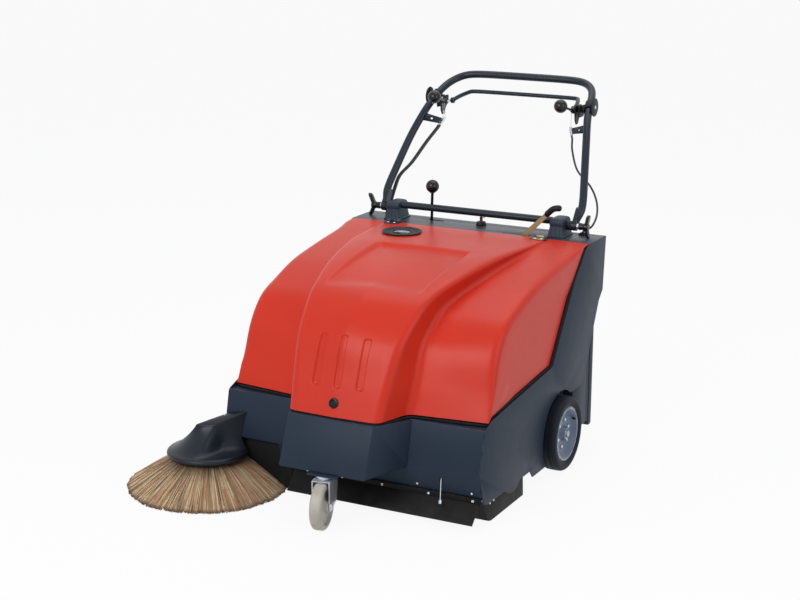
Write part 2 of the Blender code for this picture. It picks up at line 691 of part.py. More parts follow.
for groove_x in (-GROOVE_PITCH, 0.0, GROOVE_PITCH):
    line = [nose_point(t, groove_x, GROOVE_R - GROOVE_DEPTH) for t in GROOVE_STATIONS]
    cut(hood, tube("groove", line, GROOVE_R, resolution=3))
cut(hood,
    rod("lock_hole", LOCK_AT - NOSE_OUT * 0.02, LOCK_AT + NOSE_OUT * 0.02, LOCK_R - 0.003 + PLAY, sides=16),
    rod("gauge_hole", (GAUGE_X, GAUGE_Y, GAUGE_Z - 0.03), (GAUGE_X, GAUGE_Y, GAUGE_Z + 0.03), GAUGE_R - 0.0075,
        sides=26))

# Bulb seal under the hood's lower edge: thicker in front, thin over the nose box

NOSE_SEAL_R = 0.0010
side_line = [(HOOD_SIDE_X - HOOD_WALL / 2, y, z) for y, z in reversed(offset_path(SEAM, SEAL_R + PLAY))]
side_line[-1] = (side_line[-1][0], FLANGE_START_Y - 0.015, FLANGE_START[1] - 0.015 * seam_rise + SEAL_R + PLAY)
side_line += [(HALF_WIDTH - 0.0082, 0.045, 0.2635), (HALF_WIDTH - 0.0107, 0.031, FRONT_TOP_Z + SEAL_R + 2 * PLAY)]
front_line = [(x, y, FRONT_TOP_Z + PLAY + FRONT_SEAL_R) 
              for x, y in ((HALF_WIDTH - 0.0227, 0.0265), (HALF_WIDTH - 0.0627, 0.0200), (0.1600, 0.0065))]
nose_line = [(x, y, NOSE_TOP_Z + PLAY + NOSE_SEAL_R) for x, y in ((0.1225, -0.093), (0.1120, -0.0985), (0.0, -0.1015))]
seal_half = side_line + front_line + nose_line
seal_swell = [1] * len(side_line) + [FRONT_SEAL_R / SEAL_R] * 3 + [NOSE_SEAL_R / SEAL_R] * 3
seal_path = seal_half + mirrored(reversed(seal_half[:-1]), -1)
tube("hood_seal", seal_path, SEAL_R, RUBBER, resolution=1, swell=seal_swell + seal_swell[-2::-1])

# Trims of the hood: gauge, lock and hinge leaves

gauge_profile = [(0, -0.010), (0.030, -0.010), (0.047, 0.002), (0.052, 0.0028), (GAUGE_R, 0),
                 (GAUGE_R - 0.008 - PLAY, 0), (GAUGE_R - 0.008 - PLAY, -0.020), (0, -0.020)]
gauge_centre = (GAUGE_X, GAUGE_Y, GAUGE_Z + 0.0014)
turned("gauge_bezel", gauge_profile, gauge_centre, (0, 0, 1), KNOB_BLACK, steps=26)
turned("gauge_lens", [(0, -0.0060), (0.024, -0.0066), (0.029, -0.0085), (0.029, -0.0100 + PLAY), (0, -0.0100 + PLAY)],
       gauge_centre, (0, 0, 1), LENS, steps=18)

lock = rod("hood_lock", LOCK_AT - NOSE_OUT * 0.024, LOCK_AT + NOSE_OUT * 0.002, LOCK_R - 0.003, KNOB_BLACK, 16)
cam_at = LOCK_AT - NOSE_OUT * 0.022
lock_head = turned("lock_head", [(0, 0.0030), (0.008, 0.0042), (0.011, 0.0042), (LOCK_R, 0.0022), (LOCK_R, 0), (0, 0)],
                   LOCK_AT + NOSE_OUT * 0.0008, NOSE_OUT, steps=16)
lock_cam = box("lock_cam", (-0.007, cam_at.y - 0.002, cam_at.z - 0.030), (0.007, cam_at.y + 0.002, cam_at.z + 0.004))
fuse(lock, lock_head, lock_cam)
put_origin(lock, LOCK_AT)

LEAF_Z = 0.5803
for side_name, side in SIDES.items():
    x = side * HINGE_X
    leaf = box("hinge_leaf_" + side_name, (x - 0.016, 0.622, LEAF_Z), (x + 0.016, 0.6445, LEAF_Z + 0.0016), GOLD)
    neck = box("leaf_neck", (x - KNUCKLE_HALF, 0.640, LEAF_Z), (x + KNUCKLE_HALF, HINGE_Y, LEAF_Z + 0.0016))
    barrel = rod("leaf_barrel", (x - KNUCKLE_HALF, HINGE_Y, HINGE_Z), (x + KNUCKLE_HALF, HINGE_Y, HINGE_Z), HINGE_R,
                 sides=12)
    cut(fuse(leaf, neck, barrel),
        rod("pin_bore", (x - 0.02, HINGE_Y, HINGE_Z), (x + 0.02, HINGE_Y, HINGE_Z), HINGE_R / 2 + PLAY, sides=8))

# Rear wheels

WHEEL_STEPS = 20            # a multiple of four, so that a corner meets the floor

for side_name, side in SIDES.items():
    out = Vector((side, 0, 0))
    centre = (side * (TYRE_OUT_X - TYRE_WIDTH / 2), AXLE_Y, AXLE_Z)
    half = TYRE_WIDTH / 2
    tread = [(RIM_R, half - 0.004), (0.090, half), (AXLE_Z, half - 0.011),
             (AXLE_Z, -half + 0.011), (0.090, -half), (RIM_R, -half + 0.004)]
    put_origin(turned("tyre_" + side_name, tread, centre, out, RUBBER, steps=WHEEL_STEPS, ring=True), centre)
    seat = RIM_R - PLAY
    bore = AXLE_R + PLAY
    dish = [(0.016, half - 0.005), (0.020, half - 0.018), (0.052, half - 0.018), (0.066, half - 0.003),
            (seat, half - 0.005), (seat, -half + 0.005), (0.066, -half + 0.005), (0.060, half - 0.025),
            (0.016, half - 0.026), (0.016, -half + 0.004), (bore, -half + 0.004), (bore, half - 0.005)]
    put_origin(turned("rim_" + side_name, dish, centre, out, RIM_GREY, steps=WHEEL_STEPS, ring=True), centre)

# Caster: plate on the nose box, swivelling fork, wheel

caster_turn = Matrix.Rotation(CASTER_YAW, 4, "Z")
PLATE_HALF = 0.040
PLATE_HALF_DEPTH = 0.024
PLATE_LOW_Z = NOSE_FOOT_Z - PLAY - 0.003
HEAD_R = 0.024
CROWN_TOP_Z = 2 * CASTER_R + 0.0045
caster_plate = box("caster_plate", (SWIVEL_X - PLATE_HALF, SWIVEL_Y - PLATE_HALF_DEPTH, PLATE_LOW_Z),
                   (SWIVEL_X + PLATE_HALF, SWIVEL_Y + PLATE_HALF_DEPTH, NOSE_FOOT_Z - PLAY), ZINC)
fuse(caster_plate,
     rod("king_pin", (SWIVEL_X, SWIVEL_Y, CROWN_TOP_Z - 0.005), (SWIVEL_X, SWIVEL_Y, PLATE_LOW_Z + 0.001), 0.006,
         sides=16))
FORK_HALF = 0.0225          # outer face of a fork leg
FORK_WALL = 0.0025
leg = [(0.008, CROWN_TOP_Z), (-CASTER_TRAIL - 0.024, CROWN_TOP_Z), (-CASTER_TRAIL - 0.024, CROWN_TOP_Z - 0.020),
       (-0.050, 0.060, 0.01), (-0.012, CASTER_R - 0.013), (0.004, CASTER_R - 0.013, 0.006), (0.008, CASTER_R)]


def caster_place(part):
    """Set a piece, drawn with the wheel's axle at y = 0 and the fork behind it, at the caster's own angle."""
    swivel = Matrix.Translation((SWIVEL_X, SWIVEL_Y, 0))
    part.data.transform(swivel @ caster_turn @ Matrix.Translation((0, -CASTER_TRAIL, 0)))
    return part


def to_rear(outline):
    return [(-p[0], *p[1:]) for p in outline]


caster_fork = flat("caster_fork", rounded(to_rear(leg), 2), "X", FORK_HALF - FORK_WALL, FORK_HALF, ZINC)
other_leg = flat("fork_leg", rounded(to_rear(leg), 2), "X", -FORK_HALF, -FORK_HALF + FORK_WALL)
crown = box("fork_crown", (-FORK_HALF + 0.001, -0.0075, CROWN_TOP_Z - FORK_WALL),
            (FORK_HALF - 0.001, CASTER_TRAIL + 0.0235, CROWN_TOP_Z - PLAY))
head = rod("fork_head", (0, CASTER_TRAIL, CROWN_TOP_Z - 0.001), (0, CASTER_TRAIL, PLATE_LOW_Z - PLAY), HEAD_R, sides=18)
bolt = rod("fork_bolt", (-FORK_HALF - 0.003, 0, CASTER_R), (FORK_HALF + 0.003, 0, CASTER_R), 0.005, sides=12)
nuts = [rod("fork_nut", (side * (FORK_HALF - 0.001), 0, CASTER_R), (side * (FORK_HALF + 0.005), 0, CASTER_R), 0.008,
            sides=6) for side in SIDES.values()]
bore = rod("king_bore", (0, CASTER_TRAIL, 0.05), (0, CASTER_TRAIL, 0.2), 0.006 + PLAY, sides=16)
for piece in (caster_fork, other_leg, crown, head, bolt, *nuts, bore):
    caster_place(piece)
cut(fuse(caster_fork, other_leg, crown, head, bolt, *nuts), bore)
put_origin(caster_fork, (SWIVEL_X, SWIVEL_Y, PLATE_LOW_Z))

half = CASTER_WIDTH / 2
caster_tread = [(CASTER_R - 0.010, half), (CASTER_R, half - 0.009), (CASTER_R, -half + 0.009), (CASTER_R - 0.010, -half),
                (0.018, -half + 0.006), (0.014, -half - 0.004), (0.005 + PLAY, -half - 0.004),
                (0.005 + PLAY, half + 0.004), (0.014, half + 0.004), (0.018, half - 0.006)]
caster_wheel = turned("caster_wheel", caster_tread, (0, 0, CASTER_R), (1, 0, 0), CREAM, steps=24, ring=True)
caster_place(caster_wheel)
caster_axle = Matrix.Translation((SWIVEL_X, SWIVEL_Y, 0)) @ caster_turn @ Vector((0, -CASTER_TRAIL, CASTER_R))
put_origin(caster_wheel, caster_axle)

# Side brush: moulded cover with its arm, motor, brush and the guide of its lift

COVER_DOME_Z = 0.101        # the cover's disc, where the arm's flare runs out
ARM_FRONT = (-0.386, -0.0765, 0.170)        # middle of the arm's flat top, front end
ARM_ROOT = (-0.336, 0.003, 0.196)
ARM_HALF = 0.0235
COVER_COLUMNS = 24


def cover_ring(level):
    """One ring of the cover: 0 is the arm's flat top, 1 the edge of the disc."""
    front, root = Vector(ARM_FRONT), Vector(ARM_ROOT)
    way = (root - front).to_2d().normalized()
    across = Vector((way.y, -way.x))
    length = (root - front).to_2d().length
    ring = []
    for i in range(COVER_COLUMNS):
        angle = math.tau * i / COVER_COLUMNS
        u, v = math.cos(angle), math.sin(angle)
        grow = max(abs(u), abs(v)) ** 0.75
        along_top = (u / grow * 0.5 + 0.5) * length
        top = front + (root - front) * (along_top / length)
        inner = top.to_2d() + across * (v / grow * ARM_HALF)
        outer = Vector((BRUSH_X, BRUSH_Y)) + (way * u + across * v) * (COVER_R - 0.006)
        spread = level ** 2.3
        place = inner.lerp(outer, spread)
        height = top.z + (COVER_DOME_Z - top.z) * (1 - (1 - level) ** 1.9)
        ring.append(Vector((place.x, place.y, height)))
    return ring


def disc_ring(radius, height):
    front, root = Vector(ARM_FRONT), Vector(ARM_ROOT)
    way = (root - front).to_2d().normalized()
    across = Vector((way.y, -way.x))
    ring = []
    for i in range(COVER_COLUMNS):
        angle = math.tau * i / COVER_COLUMNS
        place = Vector((BRUSH_X, BRUSH_Y)) + (way * math.cos(angle) + across * math.sin(angle)) * radius
        ring.append(Vector((place.x, place.y, height)))
    return ring


def loft(name, rings, material=None):
    """A closed body through rings of the same number of points, its two ends capped."""
    work = bmesh.new()
    rows = [[work.verts.new(p) for p in ring] for ring in rings]
    for low, high in zip(rows, rows[1:]):
        for i in range(len(low)):
            j = (i + 1) % len(low)
            work.faces.new((low[i], low[j], high[j], high[i]))
    work.faces.new(rows[0])
    work.faces.new(rows[-1])
    bmesh.ops.recalc_face_normals(work, faces=work.faces)
    mesh = bpy.data.meshes.new(name)
    work.to_mesh(mesh)
    work.free()
    return soften(register(name, mesh, material), 30)


COVER_LEVELS = (0.0, 0.06, 0.3, 0.6, 1.0)
rings = [cover_ring(level) for level in COVER_LEVELS]
rings += [disc_ring(COVER_R - 0.001, COVER_DOME_Z - 0.0025), disc_ring(COVER_R, COVER_DOME_Z - 0.006),
          disc_ring(COVER_R - 0.0015, COVER_RIM_Z + 0.001), disc_ring(COVER_R - 0.003, COVER_RIM_Z)]
cover = loft("side_brush_cover", rings, DARK_PLASTIC)
MOTOR_R = 0.022
MOTOR_TOP_Z = 0.158
HUB_TOP_Z = 0.0935
PANEL_LEAN = -FOLD_Y / (FRONT_TOP_Z - FOLD_Z)
behind = [(FOLD_Y - 0.0015, COVER_DOME_Z + 0.001), (FOLD_Y - 0.0015, FOLD_Z),
          (-0.0015 + PANEL_LEAN * 0.004, FRONT_TOP_Z + 0.004),
          (0.2, FRONT_TOP_Z), (0.2, COVER_DOME_Z + 0.001)]
lug = box("arm_lug", (LUG_RIGHT, -0.060, LUG_LOW), (LUG_LEFT, 0.028, LUG_HIGH))
GUIDE_X, GUIDE_Y, GUIDE_R = -0.336, 0.034, 0.007
sleeve = rod("arm_sleeve", (GUIDE_X, GUIDE_Y, LUG_LOW), (GUIDE_X, GUIDE_Y, LUG_HIGH), 0.013, sides=20)
cut(cover, flat("cover_back", behind, "X", -0.50, -0.20))
fuse(cover, lug, sleeve)
cut(cover,
    rod("cover_cavity", (BRUSH_X, BRUSH_Y, 0.05), (BRUSH_X, BRUSH_Y, COVER_DOME_Z - 0.004), COVER_R - 0.007,
        sides=COVER_COLUMNS),
    rod("motor_pocket", (BRUSH_X, BRUSH_Y, 0.05), (BRUSH_X, BRUSH_Y, MOTOR_TOP_Z), MOTOR_R + PLAY, sides=16),
    rod("guide_bore", (GUIDE_X, GUIDE_Y, 0.05), (GUIDE_X, GUIDE_Y, 0.3), GUIDE_R + PLAY, sides=20))

motor = rod("side_brush_motor", (BRUSH_X, BRUSH_Y, HUB_TOP_Z + 0.002), (BRUSH_X, BRUSH_Y, MOTOR_TOP_Z - PLAY), MOTOR_R,
            STEEL, sides=16)
fuse(motor, rod("motor_spindle", (BRUSH_X, BRUSH_Y, 0.070), (BRUSH_X, BRUSH_Y, HUB_TOP_Z + 0.004), 0.006, sides=12))

guide = rod("brush_guide", (GUIDE_X, GUIDE_Y, 0.112), (GUIDE_X, GUIDE_Y, 0.238), GUIDE_R, STEEL, sides=20)
GUIDE_PLATE_X = -INNER_HALF
for low, high in ((0.1935, 0.1985), (0.232, 0.237)):
    fuse(guide, box("guide_arm", (GUIDE_PLATE_X + 0.001, GUIDE_Y - 0.010, low), (GUIDE_X, GUIDE_Y + 0.010, high)))
fuse(guide, box("guide_plate", (GUIDE_PLATE_X, GUIDE_Y - 0.014, 0.185), (GUIDE_PLATE_X + 0.003, GUIDE_Y + 0.014, 0.240)))


def disc_brush():
    """A hub ring whose wall faces, every other one in a chequer, are drawn out into the strands."""
    work = bmesh.new()
    count = BRUSH_STRANDS
    levels = [(0.072, HUB_TOP_Z - 0.003), (0.076, HUB_TOP_Z - 0.008), (0.074, HUB_TOP_Z - 0.015)]
    rows = [[work.verts.new((r * math.cos(math.tau * i / count), r * math.sin(math.tau * i / count), z))
             for i in range(count)] for r, z in levels]
    strands = []
    for row, (low, high) in enumerate(zip(rows, rows[1:])):
        for i in range(count):
            j = (i + 1) % count
            face = work.faces.new((low[j], low[i], high[i], high[j]))
            if (i + row) % 2:
                strands.append((face, row))
    work.faces.new(list(rows[0]))
    work.faces.new(list(reversed(rows[-1])))
    bmesh.ops.recalc_face_normals(work, faces=work.faces)
    for face, row in strands:
        centre = face.calc_center_median()
        angle = math.atan2(centre.y, centre.x)
        new = bmesh.ops.extrude_discrete_faces(work, faces=[face])["faces"][0]
        ahead = Vector((math.cos(angle), math.sin(angle), 0))
        beside = Vector((-ahead.y, ahead.x, 0))
        middle = new.calc_center_median()
        tip = ahead * (BRUSH_R - 0.006 * row) + Vector((0, 0, BRUSH_TIP_Z))
        for vert in new.verts:
            off = vert.co - middle
            sideways = math.copysign(STRAND_HALF, off.dot(beside))
            vert.co = tip + beside * sideways
    bmesh.ops.remove_doubles(work, verts=work.verts, dist=PLAY)
    mesh = bpy.data.meshes.new("side_brush")
    work.to_mesh(mesh)
    work.free()
    part = register("side_brush", mesh, STRAW)
    part.location = (BRUSH_X, BRUSH_Y, 0)
    return part


side_brush = disc_brush()
hub = rod("brush_hub", (0, 0, HUB_TOP_Z - 0.012), (0, 0, HUB_TOP_Z - 0.0005), 0.060, sides=24)
hub_bore = rod("brush_hub_bore", (0, 0, 0.05), (0, 0, 0.12), 0.006 + PLAY, sides=12)
for piece in (hub, hub_bore):
    piece.location = side_brush.location
cut(fuse(side_brush, hub), hub_bore)

# Main broom: swing arm about the motor shaft, core, bristles, pulleys and belt

ARM_BAR = 0.005
PULLEY_HALF = 0.009
MOTOR_PULLEY_R = 0.024
BROOM_PULLEY_R = 0.048
BELT_WALL = 0.004
BELT_HALF = 0.006
broom_axis = Vector((0, BROOM_Y, BROOM_Z))
drive_axis = Vector((0, DRIVE_Y, DRIVE_Z))
SHAFT_R = 0.008
BOSS_R = 0.014
CROSS_SHARE = 0.42          # place of the arm's cross tube between its two ends


def capsule(start, end, start_r, end_r, count=9):
    """Outline of a link: two round ends joined by straight sides."""
    start, end = Vector(start), Vector(end)
    angle = math.atan2((end - start).y, (end - start).x)
    return (circle(start, start_r, count, angle + math.pi / 2, math.pi)
            + circle(end, end_r, count, angle - math.pi / 2, math.pi))


def x_rod(name, low, high, centre, radius, material=None, sides=24):
    return rod(name, (low, centre[-2], centre[-1]), (high, centre[-2], centre[-1]), radius, material, sides)


broom_arm = None
for side in SIDES.values():
    link = capsule((DRIVE_Y, DRIVE_Z), (BROOM_Y, BROOM_Z), 0.022, 0.018)
    bar = flat("broom_arm" if side > 0 else "arm_bar", link, "X", side * ARM_X - ARM_BAR / 2,
               side * ARM_X + ARM_BAR / 2, SLATE)
    if side > 0:
        broom_arm = bar
    else:
        fuse(broom_arm, bar)
cross_at = drive_axis.lerp(broom_axis, CROSS_SHARE)
fuse(broom_arm, x_rod("arm_cross", -ARM_X, ARM_X, cross_at, 0.008, sides=10))
cut(broom_arm,
    x_rod("boss_bore", -0.3, 0.3, drive_axis, BOSS_R + PLAY, sides=14),
    x_rod("shaft_bore", -0.3, 0.3, broom_axis, SHAFT_R + PLAY, sides=12))
put_origin(broom_arm, drive_axis)

core_half = BROOM_HALF
broom_core = x_rod("broom_core", -core_half, core_half, broom_axis, BROOM_CORE_R, DARK_PLASTIC, 16)
fuse(broom_core,
     x_rod("broom_shaft", -ARM_X - 0.008, BELT_X + PULLEY_HALF + 0.004, broom_axis, SHAFT_R, sides=12),
     x_rod("broom_pulley", BELT_X - PULLEY_HALF, BELT_X + PULLEY_HALF, broom_axis, BROOM_PULLEY_R, sides=20))
put_origin(broom_core, broom_axis)


def broom_bristles():
    """A sleeve round the core with rows of strands, each drawn out of its wall to a ridge."""
    work = bmesh.new()
    around, length = BROOM_ROWS * 2, BROOM_STRANDS * 2 + 1
    inner, outer = (BROOM_CORE_R + PLAY) / math.cos(math.pi / around), BROOM_CORE_R + 0.005
    half = BROOM_HALF - 0.004
    tip_r = math.sqrt(BROOM_R ** 2 - TUFT_HALF ** 2)

    def ring(radius, x):
        return [work.verts.new((x, radius * math.cos(math.tau * i / around), radius * math.sin(math.tau * i / around)))
                for i in range(around)]

    places = [-half + 2 * half * k / length for k in range(length + 1)]
    rows = [ring(outer, x) for x in places]
    strands = []
    for k, (low, high) in enumerate(zip(rows, rows[1:])):
        for i in range(around):
            j = (i + 1) % around
            face = work.faces.new((low[i], low[j], high[j], high[i]))
            if k % 2 and i % 2 == 0:
                strands.append(face)
    ends = ring(inner, -half), ring(inner, half)
    for i in range(around):
        j = (i + 1) % around
        work.faces.new((rows[0][j], rows[0][i], ends[0][i], ends[0][j]))
        work.faces.new((rows[-1][i], rows[-1][j], ends[1][j], ends[1][i]))
        work.faces.new((ends[0][j], ends[0][i], ends[1][i], ends[1][j]))
    bmesh.ops.recalc_face_normals(work, faces=work.faces)
    for face in strands:
        centre = face.calc_center_median()
        ahead = Vector((0, centre.y, centre.z)).normalized()
        beside = Vector((0, -ahead.z, ahead.y))
        new = bmesh.ops.extrude_discrete_faces(work, faces=[face])["faces"][0]
        for vert in new.verts:
            sideways = math.copysign(TUFT_HALF, (vert.co - centre).dot(beside))
            vert.co = Vector((centre.x, 0, 0)) + ahead * tip_r + beside * sideways
    bmesh.ops.remove_doubles(work, verts=work.verts, dist=PLAY)
    mesh = bpy.data.meshes.new("broom_bristles")
    work.to_mesh(mesh)
    work.free()
    part = register("broom_bristles", mesh, BRISTLE_BLACK)
    part.location = broom_axis
    return part


broom_bristles()

MOTOR_HALF_Z = 0.044
DRIVE_MOTOR_X = (ARM_X - 0.162, ARM_X - 0.010)
drive_motor = x_rod("drive_motor", *DRIVE_MOTOR_X, drive_axis, MOTOR_HALF_Z, STEEL, 20)
fuse(drive_motor,
     x_rod("motor_boss", DRIVE_MOTOR_X[1] - 0.001, ARM_X + 0.006, drive_axis, BOSS_R, sides=14),
     x_rod("motor_shaft", ARM_X, BELT_X + PULLEY_HALF + 0.003, drive_axis, SHAFT_R, sides=12),
     box("motor_cradle", (DRIVE_MOTOR_X[0] + 0.020, DRIVE_Y - 0.035, DECK_Z + PLAY),
         (DRIVE_MOTOR_X[1] - 0.022, DRIVE_Y + 0.035, DRIVE_Z - 0.020)))
motor_pulley = x_rod("motor_pulley", BELT_X - PULLEY_HALF, BELT_X + PULLEY_HALF, drive_axis, MOTOR_PULLEY_R, ZINC, 18)
cut(motor_pulley, x_rod("pulley_bore", 0.2, 0.4, drive_axis, SHAFT_R + PLAY, sides=12))
put_origin(motor_pulley, drive_axis)

pivot_bracket = flat("arm_pivot_bracket", [(DRIVE_Y - 0.035, DECK_Z - 0.001), (DRIVE_Y - 0.020, DRIVE_Z + 0.015, 0.015),
                                           (DRIVE_Y + 0.020, DRIVE_Z + 0.015, 0.015), (DRIVE_Y + 0.040, DECK_Z - 0.001)],
                     "X", -ARM_X - 0.014, -ARM_X - 0.009)
fuse(broom_housing, pivot_bracket,
     x_rod("arm_pivot_pin", -ARM_X - 0.010, -ARM_X + 0.006, drive_axis, BOSS_R, sides=14))


def belt():
    """A flat belt round the two pulleys, as the gap between two links of unlike ends."""
    ends = (DRIVE_Y, DRIVE_Z), (BROOM_Y, BROOM_Z)
    def loop(extra):
        big, small = BROOM_PULLEY_R + extra, MOTOR_PULLEY_R + extra
        a, b = Vector(ends[0]), Vector(ends[1])
        way = b - a
        lean = math.asin((big - small) / way.length)
        angle = math.atan2(way.y, way.x)
        return (circle(a, small, 9, angle + math.pi / 2 + lean, math.pi - 2 * lean)
                + circle(b, big, 15, angle - math.pi / 2 - lean, math.pi + 2 * lean))
    return flat("drive_belt", loop(BELT_WALL), "X", BELT_X - BELT_HALF, BELT_X + BELT_HALF, RUBBER,
                holes=[loop(PLAY * 2)])


belt()

# Battery, filter and fan

battery = box("battery", (-0.130, 0.110, DECK_Z + PLAY), (0.075, 0.335, DECK_Z + 0.180), DARK_PLASTIC, 0.004)
fuse(battery, *[rod("battery_post", (x, 0.140, DECK_Z + 0.17), (x, 0.140, DECK_Z + 0.195), 0.008, sides=12)
                for x in (-0.100, 0.045)])
filter_panel = box("filter_panel", (-0.245, RISER_Y + 0.012, SHELF_Z + PLAY), (0.245, SHELF_REAR_Y - 0.008, SHELF_Z + 0.036),
                   FILTER_PAPER, 0.003)
fan_centre = (-0.02, 0.645, SHELF_Z + 0.036 + PLAY)
fan_profile = [(0, 0.062), (0.030, 0.062), (0.034, 0.040), (0.048, 0.036), (0.052, 0.004), (0.046, 0.0), (0, 0.0)]
turned("suction_fan", fan_profile, fan_centre, (0, 0, 1), DARK_PLASTIC, steps=18)

# Debris hopper behind, on the housing's rails

HOPPER_HALF = INNER_HALF - 0.0094
HOPPER_FRONT_Y = 0.596
HOPPER_REAR_Y = 0.7405
HOPPER_TOP_Z = 0.396
HOPPER_WALL = 0.003
HOPPER_LOW_Z = RAIL_Z + PLAY
LIP_Y, LIP_Z = 0.716, 0.047             # the rear wall reaches down as a lip
hopper_side = [(HOPPER_FRONT_Y, HOPPER_LOW_Z, 0.012), (LIP_Y, HOPPER_LOW_Z), (LIP_Y + 0.005, LIP_Z),
               (HOPPER_REAR_Y, LIP_Z, 0.006), (HOPPER_REAR_Y, HOPPER_TOP_Z), (HOPPER_FRONT_Y, HOPPER_TOP_Z)]
hopper = flat("debris_hopper", rounded(hopper_side, 2), "X", -HOPPER_HALF, HOPPER_HALF, SLATE)
MOUTH_LOW_Z, MOUTH_HIGH_Z = THROAT_Z + 0.004, DECK_Z - 0.008
GRIP_Z = 0.300
GRIP_HALF = 0.060
inner_low = (-HOPPER_HALF + HOPPER_WALL, HOPPER_FRONT_Y + HOPPER_WALL, HOPPER_LOW_Z + HOPPER_WALL)
inner_high = (HOPPER_HALF - HOPPER_WALL, HOPPER_REAR_Y - HOPPER_WALL, HOPPER_TOP_Z + 0.02)
cut(hopper,
    box("hopper_inside", inner_low, inner_high),
    box("hopper_mouth", (-HOPPER_HALF + 0.030, HOPPER_FRONT_Y - 0.01, MOUTH_LOW_Z),
        (HOPPER_HALF - 0.030, HOPPER_FRONT_Y + 0.01, MOUTH_HIGH_Z)))
for side in SIDES.values():
    groove_low, groove_high = span(side, HOPPER_HALF - HOPPER_WALL / 2, HOPPER_HALF + 0.01)
    cut(hopper, box("side_groove", (groove_low, 0.693, HOPPER_LOW_Z - 0.02), (groove_high, 0.718, HOPPER_TOP_Z + 0.02)))
grip_path = [(-GRIP_HALF, HOPPER_REAR_Y - 0.001), (-GRIP_HALF, HOPPER_REAR_Y + 0.020, 0.012),
             (GRIP_HALF, HOPPER_REAR_Y + 0.020, 0.012), (GRIP_HALF, HOPPER_REAR_Y - 0.001)]
grip = tube("hopper_grip", [(x, y, GRIP_Z) for x, y in rounded(grip_path, 4)], 0.006, resolution=1)
fuse(hopper, grip)

# Rubber skirts, front flap with its clamp bar and pull wire

SKIRT_LOW_Z = 0.003
for side_name, side in SIDES.items():
    front = [(-0.003, 0.063), (0.035, SKIRT_LOW_Z + 0.004)] if side > 0 else [(0.200, 0.060), (0.205, SKIRT_LOW_Z + 0.004)]
    skirt = front + [(front[1][0] + 0.015, SKIRT_LOW_Z), (0.247, SKIRT_LOW_Z), (0.2415, 0.080), (front[0][0] + 0.012, 0.080)]
    flat("skirt_" + side_name, skirt, "X", *span(side, INNER_HALF - 0.003, INNER_HALF), material=RUBBER)

FLAP_X = (-0.163, INNER_HALF - 0.0069)
BAR_LOW_Z = 0.0665
bar_outline = [(STRIP_Y + 0.0035, STRIP_Z + 0.012), (STRIP_Y + 0.0070, STRIP_Z + 0.012), (STRIP_Y + 0.0050, BAR_LOW_Z),
               (STRIP_Y - 0.0045, BAR_LOW_Z), (STRIP_Y - 0.0045, STRIP_Z - 0.0006), (STRIP_Y + 0.0038, STRIP_Z - 0.0006)]
flap_bar = flat("flap_bar", bar_outline, "X", *FLAP_X, material=RUBBER)
FLAP_SCREWS = (-0.120, -0.020, 0.093, 0.221, 0.340)
for x in FLAP_SCREWS:
    fuse(flap_bar, rod("flap_screw", (x, STRIP_Y, 0.0725), (x, STRIP_Y - 0.0075, 0.0725), 0.0042, sides=8))
FLAP_HALF_WALL = 0.002
FLAP_TOP = (-0.0105, BAR_LOW_Z - PLAY - FLAP_HALF_WALL)     # centre of its rounded top edge, its hinge line
FLAP_FOOT = (-0.047, 0.021)
flap_path = [FLAP_TOP, (-0.022, 0.045), FLAP_FOOT]
front_face, rear_face = offset_path(flap_path, -FLAP_HALF_WALL), offset_path(flap_path, FLAP_HALF_WALL)
top_angle = math.atan2(rear_face[0][1] - FLAP_TOP[1], rear_face[0][0] - FLAP_TOP[0])
top_turn = math.copysign(math.pi, math.cos(top_angle))
top_edge = circle(FLAP_TOP, FLAP_HALF_WALL, 5, top_angle, top_turn)[1:-1]
front_flap = flat("front_flap", rear_face[::-1] + top_edge + front_face, "X", *FLAP_X, material=RUBBER)
put_origin(front_flap, (0, *FLAP_TOP))
wire_low, wire_high = Vector((0.262, -0.0365, 0.062)), Vector((0.2545, -0.0155, 0.118))
wire_way = (wire_high - wire_low).normalized()
flap_wire = tube("flap_wire", [wire_low, wire_low.lerp(wire_high, 0.5), wire_high + wire_way * 0.012], 0.0013, ZINC, 1)
fuse(flap_wire, rod("wire_nut", wire_low - wire_way * 0.003, wire_low + wire_way * 0.006, 0.0035, sides=6))

# Handle blocks, cross tube, studs and wing levers

BLOCK_X = 0.250
BLOCK_HALF = 0.0190
BLOCK_Y = 0.7200
BLOCK_DEPTH = 0.031
BLOCK_TOP_Z = 0.628
FLANGE_TOP = TOP_Z + PLAY + 0.004
STUD_R = 0.004
CLAMP_R = 0.013
CROSS_Y, CROSS_Z, CROSS_R = 0.713, 0.617, 0.010
stud_axis = (0, PIVOT_Y, PIVOT_Z)
EYE_X = (0.2862, 0.2980)


def handle_block(name, side):
    x = side * BLOCK_X
    block = box("handle_block_" + name, (x - BLOCK_HALF - 0.006, BLOCK_Y - BLOCK_DEPTH - 0.006, TOP_Z + PLAY),
                (x + BLOCK_HALF + 0.006, BLOCK_Y + BLOCK_DEPTH + 0.006, FLANGE_TOP), SLATE, 0.0015)
    body = box("block_body", (x - BLOCK_HALF, BLOCK_Y - BLOCK_DEPTH, FLANGE_TOP - 0.002),
               (x + BLOCK_HALF, BLOCK_Y + BLOCK_DEPTH, BLOCK_TOP_Z - 0.010))
    cap = box("block_cap", (x - BLOCK_HALF - 0.001, BLOCK_Y - BLOCK_DEPTH - 0.001, BLOCK_TOP_Z - 0.022),
              (x + BLOCK_HALF + 0.001, BLOCK_Y + BLOCK_DEPTH + 0.001, BLOCK_TOP_Z), None, 0.006)
    ribs = [box("block_rib", (x + place - 0.0025, BLOCK_Y - BLOCK_DEPTH - 0.003, FLANGE_TOP - 0.001),
                (x + place + 0.0025, BLOCK_Y + BLOCK_DEPTH + 0.003, BLOCK_TOP_Z - 0.021)) for place in (-0.0125, 0, 0.0125)]
    return fuse(block, body, cap, *ribs)


